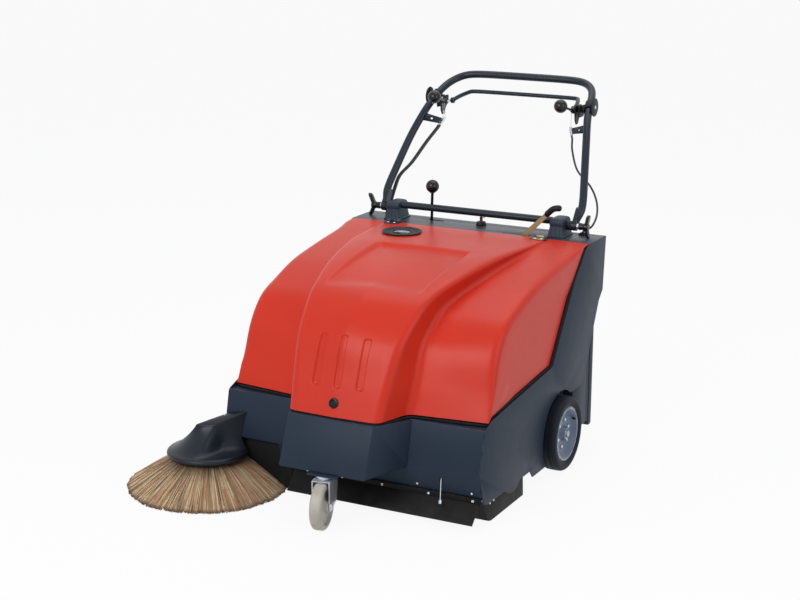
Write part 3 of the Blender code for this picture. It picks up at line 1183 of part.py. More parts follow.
for side_name, side in SIDES.items():
    handle_block(side_name, side)
    face = BLOCK_X + BLOCK_HALF + 0.001 + PLAY
    stud = x_rod("pivot_stud_" + side_name, side * face, side * (EYE_X[0] - PLAY), stud_axis, CLAMP_R, ZINC, 16)
    fuse(stud, x_rod("stud_bolt", side * (face + 0.004), side * 0.3255, stud_axis, STUD_R, sides=12))
    hub_in = EYE_X[1] + PLAY
    wing = [(0.749, 0.636, 0.004), (0.740, 0.641, 0.004), (0.722, 0.617, 0.006), (0.7085, 0.597, 0.006), (0.706, 0.586, 0.004),
            (0.716, 0.584, 0.004), (0.728, 0.598, 0.006), (0.740, 0.616, 0.006)]
    lever = flat("wing_lever_" + side_name, rounded(wing, 1), "X", *span(side, 0.3155, 0.3225), material=KNOB_BLACK)
    fuse(lever, x_rod("wing_hub", side * hub_in, side * 0.3235, stud_axis, 0.010, sides=16))
    cut(lever, x_rod("wing_bore", side * 0.29, side * 0.34, stud_axis, STUD_R + PLAY, sides=12))
    put_origin(lever, (side * hub_in, PIVOT_Y, PIVOT_Z))
CROSS_END = BLOCK_X - BLOCK_HALF - 0.001 - PLAY
x_rod("cross_tube", -CROSS_END, CROSS_END, (0, CROSS_Y, CROSS_Z), CROSS_R, SLATE, 20)

# Handle tube with its flattened eyes and anchor tabs

HANDLE_PATH = [(0.3035, 0.7480, 0.6400), (0.2930, 0.7790, 0.6900), (0.2710, 0.8420, 0.7930),
               (0.2616, 0.8690, 0.8270), (0.2500, 0.9000, 0.8670), (0.2440, 0.9220, 0.8860), (0.2350, 0.9660, 0.9155),
               (0.2250, 1.0020, 0.9335), (0.2055, 1.0320, 0.9490), (0.1750, 1.0400, 0.9570), (0.1530, 1.0440, 0.9587)]
handle_line = HANDLE_PATH + mirrored(reversed(HANDLE_PATH), -1)
handle_tube = tube("handle_tube", handle_line, HANDLE_R, SLATE)
ANCHOR_TOP = (0.2560, 0.8850, 0.8470)       # on the upright
ANCHOR_END = (0.2010, 0.9060, 0.8330)
CABLE_WAY = Vector((0.353, -0.515, -0.780)).normalized()
ADJUSTER_R = 0.0055
for side in SIDES.values():
    eye = capsule((PIVOT_Y, PIVOT_Z), (0.7485, 0.6410), CLAMP_R, CLAMP_R, 7)
    fuse(handle_tube, flat("handle_eye", eye, "X", *span(side, *EYE_X)))
    cut(handle_tube, x_rod("eye_bore", side * 0.27, side * 0.32, stud_axis, STUD_R + PLAY, sides=12))
    root, end = (Vector((side * p[0], *p[1:])) for p in (ANCHOR_TOP, ANCHOR_END))
    way = Vector((side * CABLE_WAY.x, *CABLE_WAY.yz))
    tab = box("anchor_tab", (-0.009, -0.0025, 0), (0.009, 0.0025, (end - root).length + 0.007))
    tab.data.transform(Matrix.Translation(root) @ (end - root).to_track_quat("Z", "Y").to_matrix().to_4x4())
    fuse(handle_tube, tab, rod("adjuster", end - way * 0.012, end + way * 0.014, ADJUSTER_R, sides=10))
put_origin(handle_tube, stud_axis)

# Lever brackets, hand levers and drive bail

PIN_R = 0.003
LEVER_Y, BAIL_Y, PINS_Z = 0.925, 0.950, 0.889
BRACKET_IN_X = 0.203
BRACKET_OUT_X = 0.2555
LEVER_HUB = (BRACKET_IN_X - 0.0097, BRACKET_IN_X - PLAY)
LEVER_ROD_R = 0.0035
KNOB_AT = (0.194, 0.840, 0.911)
BAIL_EYE = (0.1835, 0.1925)
QUADRANT_R = 0.026

for side_name, side in SIDES.items():
    low, high = span(side, BRACKET_IN_X, BRACKET_OUT_X)
    bracket = box("lever_bracket_" + side_name, (low, LEVER_Y - 0.012, PINS_Z - 0.021),
                  (high, BAIL_Y + 0.011, PINS_Z + 0.0145), DARK_PLASTIC)
    fuse(bracket, x_rod("quadrant", side * (BRACKET_OUT_X - 0.001), side * (BRACKET_OUT_X + 0.003),
                        (LEVER_Y + 0.013, PINS_Z + 0.011), QUADRANT_R, sides=18))
    cut(bracket, tube("clamp_bore", handle_line, HANDLE_R + PLAY))
    fuse(bracket,
         x_rod("lever_pin", side * (LEVER_HUB[0] - 0.004), side * (BRACKET_IN_X + 0.004), (LEVER_Y, PINS_Z), PIN_R, sides=10),
         x_rod("bail_pin", side * (BAIL_EYE[0] - 0.003), side * (BRACKET_IN_X + 0.004), (BAIL_Y, PINS_Z), PIN_R, sides=10))
    hand_lever = x_rod("hand_lever_" + side_name, side * LEVER_HUB[0], side * LEVER_HUB[1], (LEVER_Y, PINS_Z), 0.009,
                       KNOB_BLACK, 16)
    knob = (side * KNOB_AT[0], *KNOB_AT[1:])
    fuse(hand_lever, rod("lever_rod", (side * 0.1975, LEVER_Y - 0.004, PINS_Z + 0.001), knob, LEVER_ROD_R, sides=10),
         ball("lever_knob", knob, KNOB_R, sides=12))
    cut(hand_lever, x_rod("pin_bore", side * 0.15, side * 0.21, (LEVER_Y, PINS_Z), PIN_R + PLAY, sides=10))
    put_origin(hand_lever, (side * LEVER_HUB[1], LEVER_Y, PINS_Z))

BAIL_PATH = [(0.1880, 0.9550, 0.8900), (0.1860, 0.9800, 0.8950), (0.1780, 1.0120, 0.9020), (0.1650, 1.0340, 0.9060),
             (0.1500, 1.0400, 0.9070)]
bail = tube("bail", BAIL_PATH + mirrored(reversed(BAIL_PATH), -1), BAIL_R, SLATE, resolution=2)
for side in SIDES.values():
    fuse(bail, x_rod("bail_eye", side * BAIL_EYE[0], side * BAIL_EYE[1], (BAIL_Y, PINS_Z), 0.0085, sides=12))
for side in SIDES.values():
    cut(bail, x_rod("bail_bore", side * 0.16, side * 0.21, (BAIL_Y, PINS_Z), PIN_R + PLAY, sides=10))
put_origin(bail, (0, BAIL_Y, PINS_Z))

# Control cables from the adjusters down into the machine

CABLE_R = 0.0028
CABLE_PITCH = 0.006
GROMMET_R = 0.0098
CABLE_FOOT_Z = 0.550
RIGHT_CABLE = [(-0.2290, 0.8600, 0.7750), (-0.2570, 0.8260, 0.7200), (-0.2800, 0.7950, 0.6850), (-0.2890, 0.7810, 0.6500),
               (-0.2950, 0.7690, 0.6150), (-0.2970, 0.7600, 0.5950), (-0.2970, 0.7600, CABLE_FOOT_Z)]
LEFT_CABLE = [(0.2180, 0.8760, 0.7840), (0.2450, 0.8500, 0.7350), (0.2980, 0.8160, 0.7000), (0.3250, 0.7950, 0.6650),
              (0.3330, 0.7800, 0.6300), (0.3250, 0.7650, 0.6000), (0.3020, 0.7570, 0.5830), (0.3020, 0.7570, CABLE_FOOT_Z)]


def cable_start(side):
    """Where a cable leaves its adjuster, and which way."""
    way = Vector((side * CABLE_WAY.x, *CABLE_WAY.yz))
    return Vector((side * ANCHOR_END[0], *ANCHOR_END[1:])) + way * (0.014 + PLAY), way


def cable(name, knots, side, aside=0.0):
    """A cable from the adjuster of a side along a list of knots, laid aside by some width."""
    start, way = cable_start(side)
    shift = Vector((aside, 0, 0))
    square = shift - way * shift.dot(way)
    line = [start + square, start + way * 0.012 + square, *[Vector(k) + shift for k in knots]]
    return tube(name, line, CABLE_R, RUBBER, resolution=1)


cables_right = cable("cables_right", RIGHT_CABLE, -1, -CABLE_PITCH / 2)
start, way = cable_start(-1)
drop = Vector((*CABLE_DROP["right"], TOP_Z + PLAY))
fuse(cables_right,
     cable("second_cable", RIGHT_CABLE, -1, CABLE_PITCH / 2),
     rod("cable_block", start, start + way * 0.010, 0.0078, sides=12),
     rod("cable_grommet", drop, drop + Vector((0, 0, 0.018)), GROMMET_R, sides=14, end_radius=0.0075))
cable_left = cable("cable_left", LEFT_CABLE, 1)
drop = Vector((*CABLE_DROP["left"], TOP_Z + PLAY))
fuse(cable_left, rod("cable_grommet", drop, drop + Vector((0, 0, 0.006)), GROMMET_R, sides=14))

# Levers through the top plate: ball lever of the side brush, flat lever of the main broom

BALL_PIVOT_Z = 0.540
BALL_AT = (-0.138, 0.720, 0.677)
BALL_HUB_HALF = 0.0045
LIFT_PIN_R = 0.004
ball_hub = (BALL_LEVER_X, BALL_LEVER_Y - BALL_HUB_HALF, BALL_PIVOT_Z)
ball_hub_end = (BALL_LEVER_X, BALL_LEVER_Y + BALL_HUB_HALF, BALL_PIVOT_Z)
brush_lever = rod("brush_lift_lever", ball_hub, ball_hub_end, 0.009, ZINC, 16)
fuse(brush_lever,
     tube("ball_lever_rod", [(BALL_LEVER_X, BALL_LEVER_Y, BALL_PIVOT_Z + 0.002), (-0.1490, BALL_LEVER_Y, 0.588), BALL_AT],
          0.004, resolution=2),
     ball("ball_lever_knob", BALL_AT, KNOB_R, sides=12))
cut(brush_lever, rod("ball_lever_bore", (BALL_LEVER_X, 0.70, BALL_PIVOT_Z), (BALL_LEVER_X, 0.78, BALL_PIVOT_Z),
                     LIFT_PIN_R + PLAY, sides=12))
put_origin(brush_lever, (BALL_LEVER_X, BALL_LEVER_Y, BALL_PIVOT_Z))
fuse(top_plate, rod("ball_lever_pin", (BALL_LEVER_X, BALL_LEVER_Y - 0.008, BALL_PIVOT_Z), (BALL_LEVER_X, 0.7740, BALL_PIVOT_Z),
                    LIFT_PIN_R, sides=12))

FLAT_PIVOT = (0.150, 0.562)
FLAT_TOP = (0.231, 0.643)
FLAT_HALF = 0.0020
broom_lever = flat("broom_lift_lever", capsule(FLAT_PIVOT, FLAT_TOP, 0.009, 0.0065), "Y",
                   LEVER_SLOT_Y - FLAT_HALF, LEVER_SLOT_Y + FLAT_HALF, GOLD)
cut(broom_lever, rod("flat_lever_bore", (FLAT_PIVOT[0], 0.65, FLAT_PIVOT[1]), (FLAT_PIVOT[0], 0.70, FLAT_PIVOT[1]),
                     LIFT_PIN_R + PLAY, sides=12))
put_origin(broom_lever, (FLAT_PIVOT[0], LEVER_SLOT_Y, FLAT_PIVOT[1]))
fuse(top_plate, rod("flat_lever_pin", (FLAT_PIVOT[0], TOP_FRONT_Y + 0.001, FLAT_PIVOT[1]),
                    (FLAT_PIVOT[0], LEVER_SLOT_Y + 0.006, FLAT_PIVOT[1]), LIFT_PIN_R, sides=12))
grip_outline = [(0.2200, 0.6420, 0.004), (0.2330, 0.6290, 0.004), (0.2480, 0.6480, 0.008), (0.2700, 0.6540, 0.004),
                (0.2670, 0.6650, 0.004), (0.2480, 0.6640, 0.008), (0.2330, 0.6760, 0.005), (0.2270, 0.6600, 0.008)]
lever_grip = flat("lever_grip", rounded(grip_outline, 2), "Y", LEVER_SLOT_Y - 0.0075, LEVER_SLOT_Y + 0.0075, KNOB_BLACK)
cut(lever_grip, flat("grip_slot", capsule(FLAT_PIVOT, FLAT_TOP, 0.009 + PLAY, 0.0065 + PLAY), "Y",
                     LEVER_SLOT_Y - FLAT_HALF - PLAY, LEVER_SLOT_Y + FLAT_HALF + PLAY))

# Battery isolator: base and key

KEY_X, KEY_Y = 0.005, 0.740
KEY_R = 0.005
base_low = TOP_Z + PLAY
isolator_base = turned("isolator_base", [(0, 0.011), (0.0105, 0.011), (0.0125, 0.008), (0.0145, 0.007), (0.0145, 0), (0, 0)],
                       (KEY_X, KEY_Y, base_low), (0, 0, 1), DARK_PLASTIC, steps=16)
cut(isolator_base, rod("key_hole", (KEY_X, KEY_Y, base_low + 0.003), (KEY_X, KEY_Y, base_low + 0.03), KEY_R + PLAY, sides=12))
key = rod("isolator_key", (KEY_X, KEY_Y, base_low + 0.004), (KEY_X, KEY_Y, base_low + 0.018), KEY_R, RED_KEY, sides=12)
key_hook = [(-0.0075, 0.0113, 0.002), (0.0075, 0.0113, 0.002), (0.0105, 0.0200, 0.004), (0.0080, 0.0320, 0.004),
            (-0.0080, 0.0320, 0.004), (-0.0100, 0.0230, 0.003), (-0.0040, 0.0215, 0.001), (-0.0040, 0.0265, 0.001),
            (0.0030, 0.0265, 0.002), (0.0040, 0.0180, 0.002), (-0.0070, 0.0165, 0.002)]
key_outline = [(KEY_X + p[0], base_low + p[1], p[2]) for p in key_hook]
fuse(key, flat("key_hook", rounded(key_outline, 2), "Y", KEY_Y - 0.003, KEY_Y + 0.003))
put_origin(key, (KEY_X, KEY_Y, base_low))

# Set the machine on the floor, its bounding box centred over the origin

bpy.context.view_layer.update()
depsgraph = bpy.context.evaluated_depsgraph_get()
corners = [part.matrix_world @ Vector(corner)
           for part in PARTS.objects if part.type == "MESH"
           for corner in part.evaluated_get(depsgraph).bound_box]
low = [min(corner[i] for corner in corners) for i in range(3)]
high = [max(corner[i] for corner in corners) for i in range(3)]
machine.location = (-(low[0] + high[0]) / 2, -(low[1] + high[1]) / 2, -low[2])
bpy.context.view_layer.update()
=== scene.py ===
"""The looks of the walk-behind floor sweeper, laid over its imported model.

Pieces are drawn in the machine's own measures, in metres: x = 0 is the centre plane, "left" is +X, y = 0 is
the top edge of the front panel and z = 0 is the floor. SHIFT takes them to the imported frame.
"""
import json
import math

import bmesh
import bpy
from mathutils import Euler, Matrix, Vector


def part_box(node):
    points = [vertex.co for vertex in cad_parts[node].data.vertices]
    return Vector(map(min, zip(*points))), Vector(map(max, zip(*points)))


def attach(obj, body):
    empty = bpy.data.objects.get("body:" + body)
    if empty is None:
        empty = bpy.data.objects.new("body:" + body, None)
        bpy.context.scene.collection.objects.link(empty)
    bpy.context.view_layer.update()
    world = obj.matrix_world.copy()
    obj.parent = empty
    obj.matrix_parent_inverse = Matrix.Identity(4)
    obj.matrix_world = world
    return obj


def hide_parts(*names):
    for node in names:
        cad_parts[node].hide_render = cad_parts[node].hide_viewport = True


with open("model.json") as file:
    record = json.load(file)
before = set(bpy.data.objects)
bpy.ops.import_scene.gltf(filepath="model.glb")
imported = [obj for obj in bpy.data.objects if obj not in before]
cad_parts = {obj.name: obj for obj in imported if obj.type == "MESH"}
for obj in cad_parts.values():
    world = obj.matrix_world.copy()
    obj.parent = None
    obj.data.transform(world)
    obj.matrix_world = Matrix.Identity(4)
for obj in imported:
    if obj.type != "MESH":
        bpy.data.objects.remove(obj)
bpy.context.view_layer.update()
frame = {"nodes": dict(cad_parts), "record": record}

PLAY = 0.0003               # gap between pieces that touch
MERGE = 0.00001             # places closer than this are one
AXLE_Y = 0.48
SIDES = {"left": 1, "right": -1}

axle_low, axle_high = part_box("axle")
axle_middle = (axle_low + axle_high) / 2
SHIFT = Vector((axle_middle.x, axle_middle.y - AXLE_Y, 0))


# Nodes, and sums of what they give

def feed(tree, socket, value):
    """Give an input its value: what another node gives, a number, a vector or a colour."""
    if isinstance(value, Amount):
        tree.links.new(value.socket, socket)
    elif isinstance(value, bpy.types.NodeSocket):
        tree.links.new(value, socket)
    elif socket.type == "RGBA" and len(value) == 3:
        socket.default_value = (*value, 1)
    else:
        socket.default_value = value


def added(tree, kind, settings=None, places=(), **inputs):
    """A new node with its settings, and its inputs given by place or by name."""
    made = tree.nodes.new(kind)
    for label, value in (settings or {}).items():
        setattr(made, label, value)
    for place, value in enumerate(places):
        feed(tree, made.inputs[place], value)
    for label, value in inputs.items():
        feed(tree, made.inputs[label.replace("_", " ")], value)
    return made


class Amount:
    """A number that a node gives; a sum written with it becomes a math node."""

    def __init__(self, tree, socket):
        self.tree, self.socket = tree, socket

    def worked(self, operation, *values, clamp=False):
        made = added(self.tree, "ShaderNodeMath", {"operation": operation, "use_clamp": clamp}, values)
        return Amount(self.tree, made.outputs[0])

    def __add__(self, other):
        return self.worked("ADD", self, other)

    def __radd__(self, other):
        return self.worked("ADD", other, self)

    def __sub__(self, other):
        return self.worked("SUBTRACT", self, other)

    def __rsub__(self, other):
        return self.worked("SUBTRACT", other, self)

    def __mul__(self, other):
        return self.worked("MULTIPLY", self, other)

    def __truediv__(self, other):
        return self.worked("DIVIDE", self, other)

    def __rtruediv__(self, other):
        return self.worked("DIVIDE", other, self)

    def alone(self, operation):
        """An operation on this number alone, such as its sine."""
        return self.worked(operation, self)


def amounts(tree, outputs):
    """A node's outputs by name, ready for sums."""
    return {socket.name: Amount(tree, socket) for socket in outputs}


def carried(tree, name):
    """A number that each point or face corner of a mesh carries."""
    return Amount(tree, added(tree, "ShaderNodeAttribute", {"attribute_name": name}).outputs["Fac"])


def own_place(tree):
    """A place on the piece, in its own coordinates."""
    return added(tree, "ShaderNodeTexCoord").outputs["Object"]


def noise_in(tree, vector, scale, detail=3.0, roughness=0.55):
    made = added(tree, "ShaderNodeTexNoise", Detail=detail, Roughness=roughness, Vector=vector, Scale=scale)
    return Amount(tree, made.outputs["Fac"])


def blended(tree, share, first, second):
    """Two colours mixed by a share, each a socket or a colour."""
    made = added(tree, "ShaderNodeMix", {"data_type": "RGBA"}, [share])
    for socket, value in zip([s for s in made.inputs if s.type == "RGBA"], (first, second)):
        feed(tree, socket, value)
    return [s for s in made.outputs if s.type == "RGBA"][0]


def spread(tree, value, low, high):
    """A value stretched so that low becomes 0 and high becomes 1, held between them."""
    made = added(tree, "ShaderNodeMapRange", {"interpolation_type": "SMOOTHSTEP"}, Value=value, From_Min=low,
                 From_Max=high)
    return Amount(tree, made.outputs["Result"])


# Shader groups: effects that several finishes share

def new_group(name, inputs, outputs):
    """A shader group with named sockets, each input with its start value."""
    group = bpy.data.node_groups.new(name, "ShaderNodeTree")
    for label, value in inputs.items():
        kind = "NodeSocketColor" if isinstance(value, tuple) else "NodeSocketFloat"
        group.interface.new_socket(label, in_out="INPUT", socket_type=kind).default_value = value
    for label, kind in outputs.items():
        group.interface.new_socket(label, in_out="OUTPUT", socket_type="NodeSocket" + kind)
    given = amounts(group, added(group, "NodeGroupInput").outputs)
    return group, given, added(group, "NodeGroupOutput").inputs


def make_mottle():
    """Broad colour drift, roughness drift and a fine grain, all on the piece's own coordinates."""
    grey = (0.5, 0.5, 0.5, 1)
    group, given, out = new_group(
        "mottle",
        {"Colour": grey, "Second Colour": grey, "Patch Scale": 6.0, "Patch Share": 0.5, "Roughness": 0.4,
         "Roughness Drift": 0.08, "Grain Scale": 900.0},
        {"Colour": "Color", "Roughness": "Float", "Height": "Float"})
    place = own_place(group)
    share = spread(group, noise_in(group, place, given["Patch Scale"], 4), 0.3, 0.7) * given["Patch Share"]
    feed(group, out["Colour"], blended(group, share, given["Colour"], given["Second Colour"]))
    drift = (noise_in(group, place, 37.0, 5) - 0.5) * given["Roughness Drift"]
    feed(group, out["Roughness"], drift.worked("ADD", drift, given["Roughness"], clamp=True))
    feed(group, out["Height"], noise_in(group, place, given["Grain Scale"], 2))
    return group


def make_edge_wear_and_highlight():
    """A mask of the folds and edges that take a paler colour, broken up by noise: partly paint rubbed thin,
    partly a painted highlight where the rounded folds catch the light.
    """
    group, given, out = new_group("worn_edge", {"Amount": 0.6, "Break Scale": 60.0}, {"Mask": "Float"})
    kept = carried(group, "edge") * spread(group, noise_in(group, own_place(group), given["Break Scale"], 4),
                                           0.34, 0.62)
    feed(group, out["Mask"], kept.worked("MULTIPLY", kept, given["Amount"], clamp=True))
    return group


def make_floor_dust():
    """A mask of the dust that settles low on the machine."""
    group, given, out = new_group("floor_dust", {"Amount": 0.4, "Height": 0.12}, {"Mask": "Float"})
    place = own_place(group)
    height = Amount(group, added(group, "ShaderNodeSeparateXYZ", None, [place]).outputs["Z"])
    low = 1.0 - height.worked("DIVIDE", height, given["Height"], clamp=True)
    clouds = low * spread(group, noise_in(group, place, 28.0, 6, 0.65), 0.35, 0.75)
    feed(group, out["Mask"], clouds.worked("MULTIPLY", clouds, given["Amount"], clamp=True))
    return group


MOTTLE = make_mottle()
EDGE_WEAR_AND_HIGHLIGHT = make_edge_wear_and_highlight()
FLOOR_DUST = make_floor_dust()
DUST_TONE = (0.2, 0.18, 0.155)
GRAIN_DEPTH = 0.0005         # how far a finish's grain stands out
DARKER = 0.8                # a finish's second colour, where none is given


def placed(tree, group, **values):
    """A group set in a material, with its own values."""
    return added(tree, "ShaderNodeGroup", {"node_tree": group}, **values).outputs


def new_material(name):
    """A material, its node tree and its shader."""
    made = bpy.data.materials.new(name)
    made.use_nodes = True
    return made, made.node_tree, made.node_tree.nodes["Principled BSDF"]


def finish(name, colour, second=None, patch=6.0, share=0.5, rough=0.4, drift=0.08, grain=900.0, bump=0.05,
           metallic=0.0, edge=None, edge_amount=0.6, dust=0.0, dust_height=0.12, coat=0.0, coat_rough=0.1,
           ior=1.5):
    """A surface finish: mottled colour, paler edges that are partly wear and partly painted highlight, and
    dust, with its grain as a bump.
    """
    made, tree, shader = new_material(name)
    for label, value in (("Metallic", metallic), ("Coat Weight", coat), ("Coat Roughness", coat_rough),
                         ("IOR", ior)):
        shader.inputs[label].default_value = value
    base = placed(tree, MOTTLE, Colour=colour, Second_Colour=second or tuple(c * DARKER for c in colour),
                  Patch_Scale=patch, Patch_Share=share, Roughness=rough, Roughness_Drift=drift,
                  Grain_Scale=grain)
    shown = base["Colour"]
    # Edges marked in the mesh take the edge colour: partly rubbed paint, partly a painted highlight on the
    # folds.
    if edge:
        shown = blended(tree, placed(tree, EDGE_WEAR_AND_HIGHLIGHT, Amount=edge_amount)["Mask"], shown, edge)
    if dust:
        shown = blended(tree, placed(tree, FLOOR_DUST, Amount=dust, Height=dust_height)["Mask"], shown,
                        DUST_TONE)
    feed(tree, shader.inputs["Base Color"], shown)
    feed(tree, shader.inputs["Roughness"], base["Roughness"])
    relief = added(tree, "ShaderNodeBump", Strength=bump, Distance=GRAIN_DEPTH, Height=base["Height"])
    feed(tree, shader.inputs["Normal"], relief.outputs["Normal"])
    made.diffuse_color = (*colour, 1)
    return made


# Making pieces

def piece(name, mesh, material, body, stands_for=()):
    """Put a mesh drawn in machine measures into the scene, riding on a body in place of CAD nodes."""
    mesh.transform(Matrix.Translation(SHIFT))
    return seated(name, mesh, material, body, stands_for)


def seated(name, mesh, material, body, stands_for=()):
    """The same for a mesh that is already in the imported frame."""
    made = linked(name, mesh)
    mesh.materials.clear()
    mesh.materials.append(material)
    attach(made, body)
    if stands_for:
        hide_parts(*stands_for)
    return made


def plain_mesh(work, name):
    """A bmesh turned into a mesh as it is."""
    mesh = bpy.data.meshes.new(name)
    work.to_mesh(mesh)
    work.free()
    return mesh


def mesh_from(work, name, smooth_angle, mend=True):
    """A finished mesh from a bmesh: doubles merged, faces outward, smooth up to an edge angle."""
    if mend:
        bmesh.ops.remove_doubles(work, verts=work.verts, dist=MERGE)
        bmesh.ops.recalc_face_normals(work, faces=work.faces)
    mesh = plain_mesh(work, name)
    mesh.shade_smooth()
    mesh.set_sharp_from_angle(angle=math.radians(smooth_angle))
    return mesh


def joined(name, meshes, smooth_angle=40):
    """Several meshes as one, each a closed body of its own."""
    work = bmesh.new()
    for mesh in meshes:
        work.from_mesh(mesh)
        bpy.data.meshes.remove(mesh)
    return mesh_from(work, name, smooth_angle, mend=False)


def linked(name, data):
    """A new object in the scene."""
    made = bpy.data.objects.new(name, data)
    bpy.context.scene.collection.objects.link(made)
    return made


def applied(holder, *helpers):
    """The mesh that an object's modifiers make; the object and its helpers go."""
    mesh = bpy.data.meshes.new_from_object(holder.evaluated_get(bpy.context.evaluated_depsgraph_get()))
    for used in (holder, *helpers):
        bpy.data.objects.remove(used)
    return mesh


def turned_to(axis):
    return Vector(axis).to_track_quat("Z", "Y").to_matrix().to_4x4()


def stood(work, centre, axis):
    """Take what was drawn upright at the origin to its place, turned to an axis."""
    bmesh.ops.transform(work, matrix=Matrix.Translation(centre) @ turned_to(axis), verts=work.verts)


def circle(work, radius, height, steps):
    """A level ring of vertices, or one where the radius is nothing."""
    if radius < 1e-6:
        return [work.verts.new((0, 0, height))]
    angles = [math.tau * i / steps for i in range(steps)]
    return [work.verts.new((radius * math.cos(a), radius * math.sin(a), height)) for a in angles]


def skinned(work, rows, ring=False, capped=True):
    """Faces between rows of vertices that go round; a row of one is a pole."""
    for low, high in list(zip(rows, rows[1:])) + ([(rows[-1], rows[0])] if ring else []):
        steps = max(len(low), len(high))
        for i in range(steps):
            j = (i + 1) % steps
            corners = [low[i % len(low)], low[j % len(low)], high[j % len(high)], high[i % len(high)]]
            corners = list(dict.fromkeys(corners))
            if len(corners) > 2:
                work.faces.new(corners)
    for row in (rows[0], rows[-1]):
        if capped and not ring and len(row) > 2:
            work.faces.new(row)


def lathe(profile, centre, axis, steps=64, ring=False, smooth_angle=35):
    """A profile of (radius, height) turned about an axis; a ring's profile closes on itself."""
    work = bmesh.new()
    skinned(work, [circle(work, radius, height, steps) for radius, height in profile], ring)
    stood(work, centre, axis)
    return mesh_from(work, "turned", smooth_angle)


def both_faces(half):
    """A profile of one face, followed by the same on the other side of the middle."""
    return half + [(r, -h) for r, h in reversed(half)]


def collar(inner, outer, half, cut, rise, centre, axis, steps):
    """A short tube whose outer rims are chamfered by cut across it and by rise along it."""
    near = [(inner, -half), (outer - cut, -half), (outer, rise - half)]
    return lathe(both_faces(near), centre, axis, steps, ring=True)


def arc(centre, radius, start, finish, steps):
    """Profile points on an arc, its angles in degrees."""
    made = []
    for step in range(steps + 1):
        angle = math.radians(start + (finish - start) * step / steps)
        made.append((centre[0] + radius * math.cos(angle), centre[1] + radius * math.sin(angle)))
    return made


def spline(a, b, c, d, t):
    """A place between b and c on the smooth curve through four."""
    return 0.5 * (2 * b + (c - a) * t + (2 * a - 5 * b + 4 * c - d) * t ** 2
                  + (3 * b - a - 3 * c + d) * t ** 3)


def curve_through(knots, steps):
    """Points on the smooth curve through a list of knots."""
    knots = [Vector(k) for k in knots]
    ends = [knots[0] * 2 - knots[1], *knots, knots[-1] * 2 - knots[-2]]
    made = []
    for a, b, c, d in zip(ends, ends[1:], ends[2:], ends[3:]):
        made += [spline(a, b, c, d, step / steps) for step in range(steps)]
    made.append(knots[-1])
    return made


def pipe(points, radius, sides, swell=None):
    """A round bar swept along points, its ends closed by flat inset caps; swell scales it at each."""
    points = [Vector(p) for p in points]
    ways = [(after - before).normalized()
            for before, after in zip(points[:1] + points[:-1], points[1:] + points[-1:])]
    across = ways[0].orthogonal().normalized()
    work = bmesh.new()
    rows = []
    for i, (here, way) in enumerate(zip(points, ways)):
        across = (across - way * across.dot(way)).normalized()
        other = way.cross(across)
        size = radius * (swell[i] if swell else 1)
        turns = [math.tau * k / sides for k in range(sides)]
        rows.append([work.verts.new(here + (across * math.cos(a) + other * math.sin(a)) * size)
                     for a in turns])
    skinned(work, rows, capped=False)
    for row in (rows[0], rows[-1]):
        bmesh.ops.inset_region(work, faces=[work.faces.new(row)], thickness=radius * 0.18)
    return mesh_from(work, "pipe", 50)


def bar(start, end, radius, sides=32, chamfer=0.0006):
    """A straight round bar with a small chamfer at both ends."""
    start, end = Vector(start), Vector(end)
    length = (end - start).length
    profile = [(0, 0), (radius - chamfer, 0), (radius, chamfer), (radius, length - chamfer),
               (radius - chamfer, length), (0, length)]
    return lathe(profile, start, end - start, sides, smooth_angle=40)


def block(low, high, bevel=0.001, segments=2):
    """A box with rounded edges."""
    work = bmesh.new()
    bmesh.ops.create_cube(work, size=1)
    for vert in work.verts:
        vert.co = Vector([(l + h) / 2 + c * (h - l) for c, l, h in zip(vert.co, low, high)])
    if bevel:
        bmesh.ops.bevel(work, geom=work.edges, offset=bevel, segments=segments, profile=0.5, affect="EDGES")
    return mesh_from(work, "block", 30)


def rounded(points, steps=6):
    """Outline points, where a third number rounds the corner with that radius."""
    made = []
    count = len(points)
    for index, point in enumerate(points):
        here = Vector(point[:2])
        if len(point) < 3:
            made.append(tuple(here))
            continue
        before, after = Vector(points[index - 1][:2]), Vector(points[(index + 1) % count][:2])
        into, out = (here - before).normalized(), (after - here).normalized()
        reach = point[2] * math.tan(into.angle(out) / 2)
        begin, finish_at = here - into * reach, here + out * reach
        for step in range(steps + 1):
            share = step / steps
            blend = begin.lerp(here, share).lerp(here.lerp(finish_at, share), share)
            made.append(tuple(blend))
    return made


LAID = {
    "X": lambda u, v, w: (w, u, v),
    "Y": lambda u, v, w: (u, w, v),
    "Z": lambda u, v, w: (u, v, w),
}


def plate(outline, axis, low, high, bevel=0.0006, segments=2):
    """A flat outline given a thickness along an axis, its rims rounded."""
    work = bmesh.new()
    near = [work.verts.new(LAID[axis](u, v, low)) for u, v in outline]
    far = [work.verts.new(LAID[axis](u, v, high)) for u, v in outline]
    caps = [work.faces.new(near), work.faces.new(list(reversed(far)))]
    for i in range(len(outline)):
        j = (i + 1) % len(outline)
        work.faces.new((near[j], near[i], far[i], far[j]))
    if bevel:
        rims = list({edge for cap in caps for edge in cap.edges})
        bmesh.ops.bevel(work, geom=rims, offset=bevel, segments=segments, profile=0.5, affect="EDGES")
    bmesh.ops.triangulate(work, faces=[f for f in work.faces if len(f.verts) > 4])
    return mesh_from(work, "plate", 30)


def knob(centre, radius, toward):
    """A ball knob with a short collar on the side its rod comes from."""
    rise = (Vector(toward) - Vector(centre)).normalized()
    neck = radius * 0.42
    start = math.degrees(math.acos(neck / radius))
    profile = [(0, radius * 1.04), (neck * 0.9, radius * 1.04), (neck, radius),
               *arc((0, 0), radius, start, -90, 24)]
    profile[-1] = (0, -radius)
    return lathe(profile, centre, rise, 48, smooth_angle=50)


def nut(centre, axis, across, height):
    """A hexagon nut or bolt head with a chamfered top."""
    work = bmesh.new()
    corner = across / 2 / math.cos(math.pi / 6)
    skinned(work, [circle(work, radius, level, 6)
                   for radius, level in ((corner, 0), (corner, height * 0.82), (corner * 0.88, height))])
    stood(work, centre, axis)
    return mesh_from(work, "nut", 25)


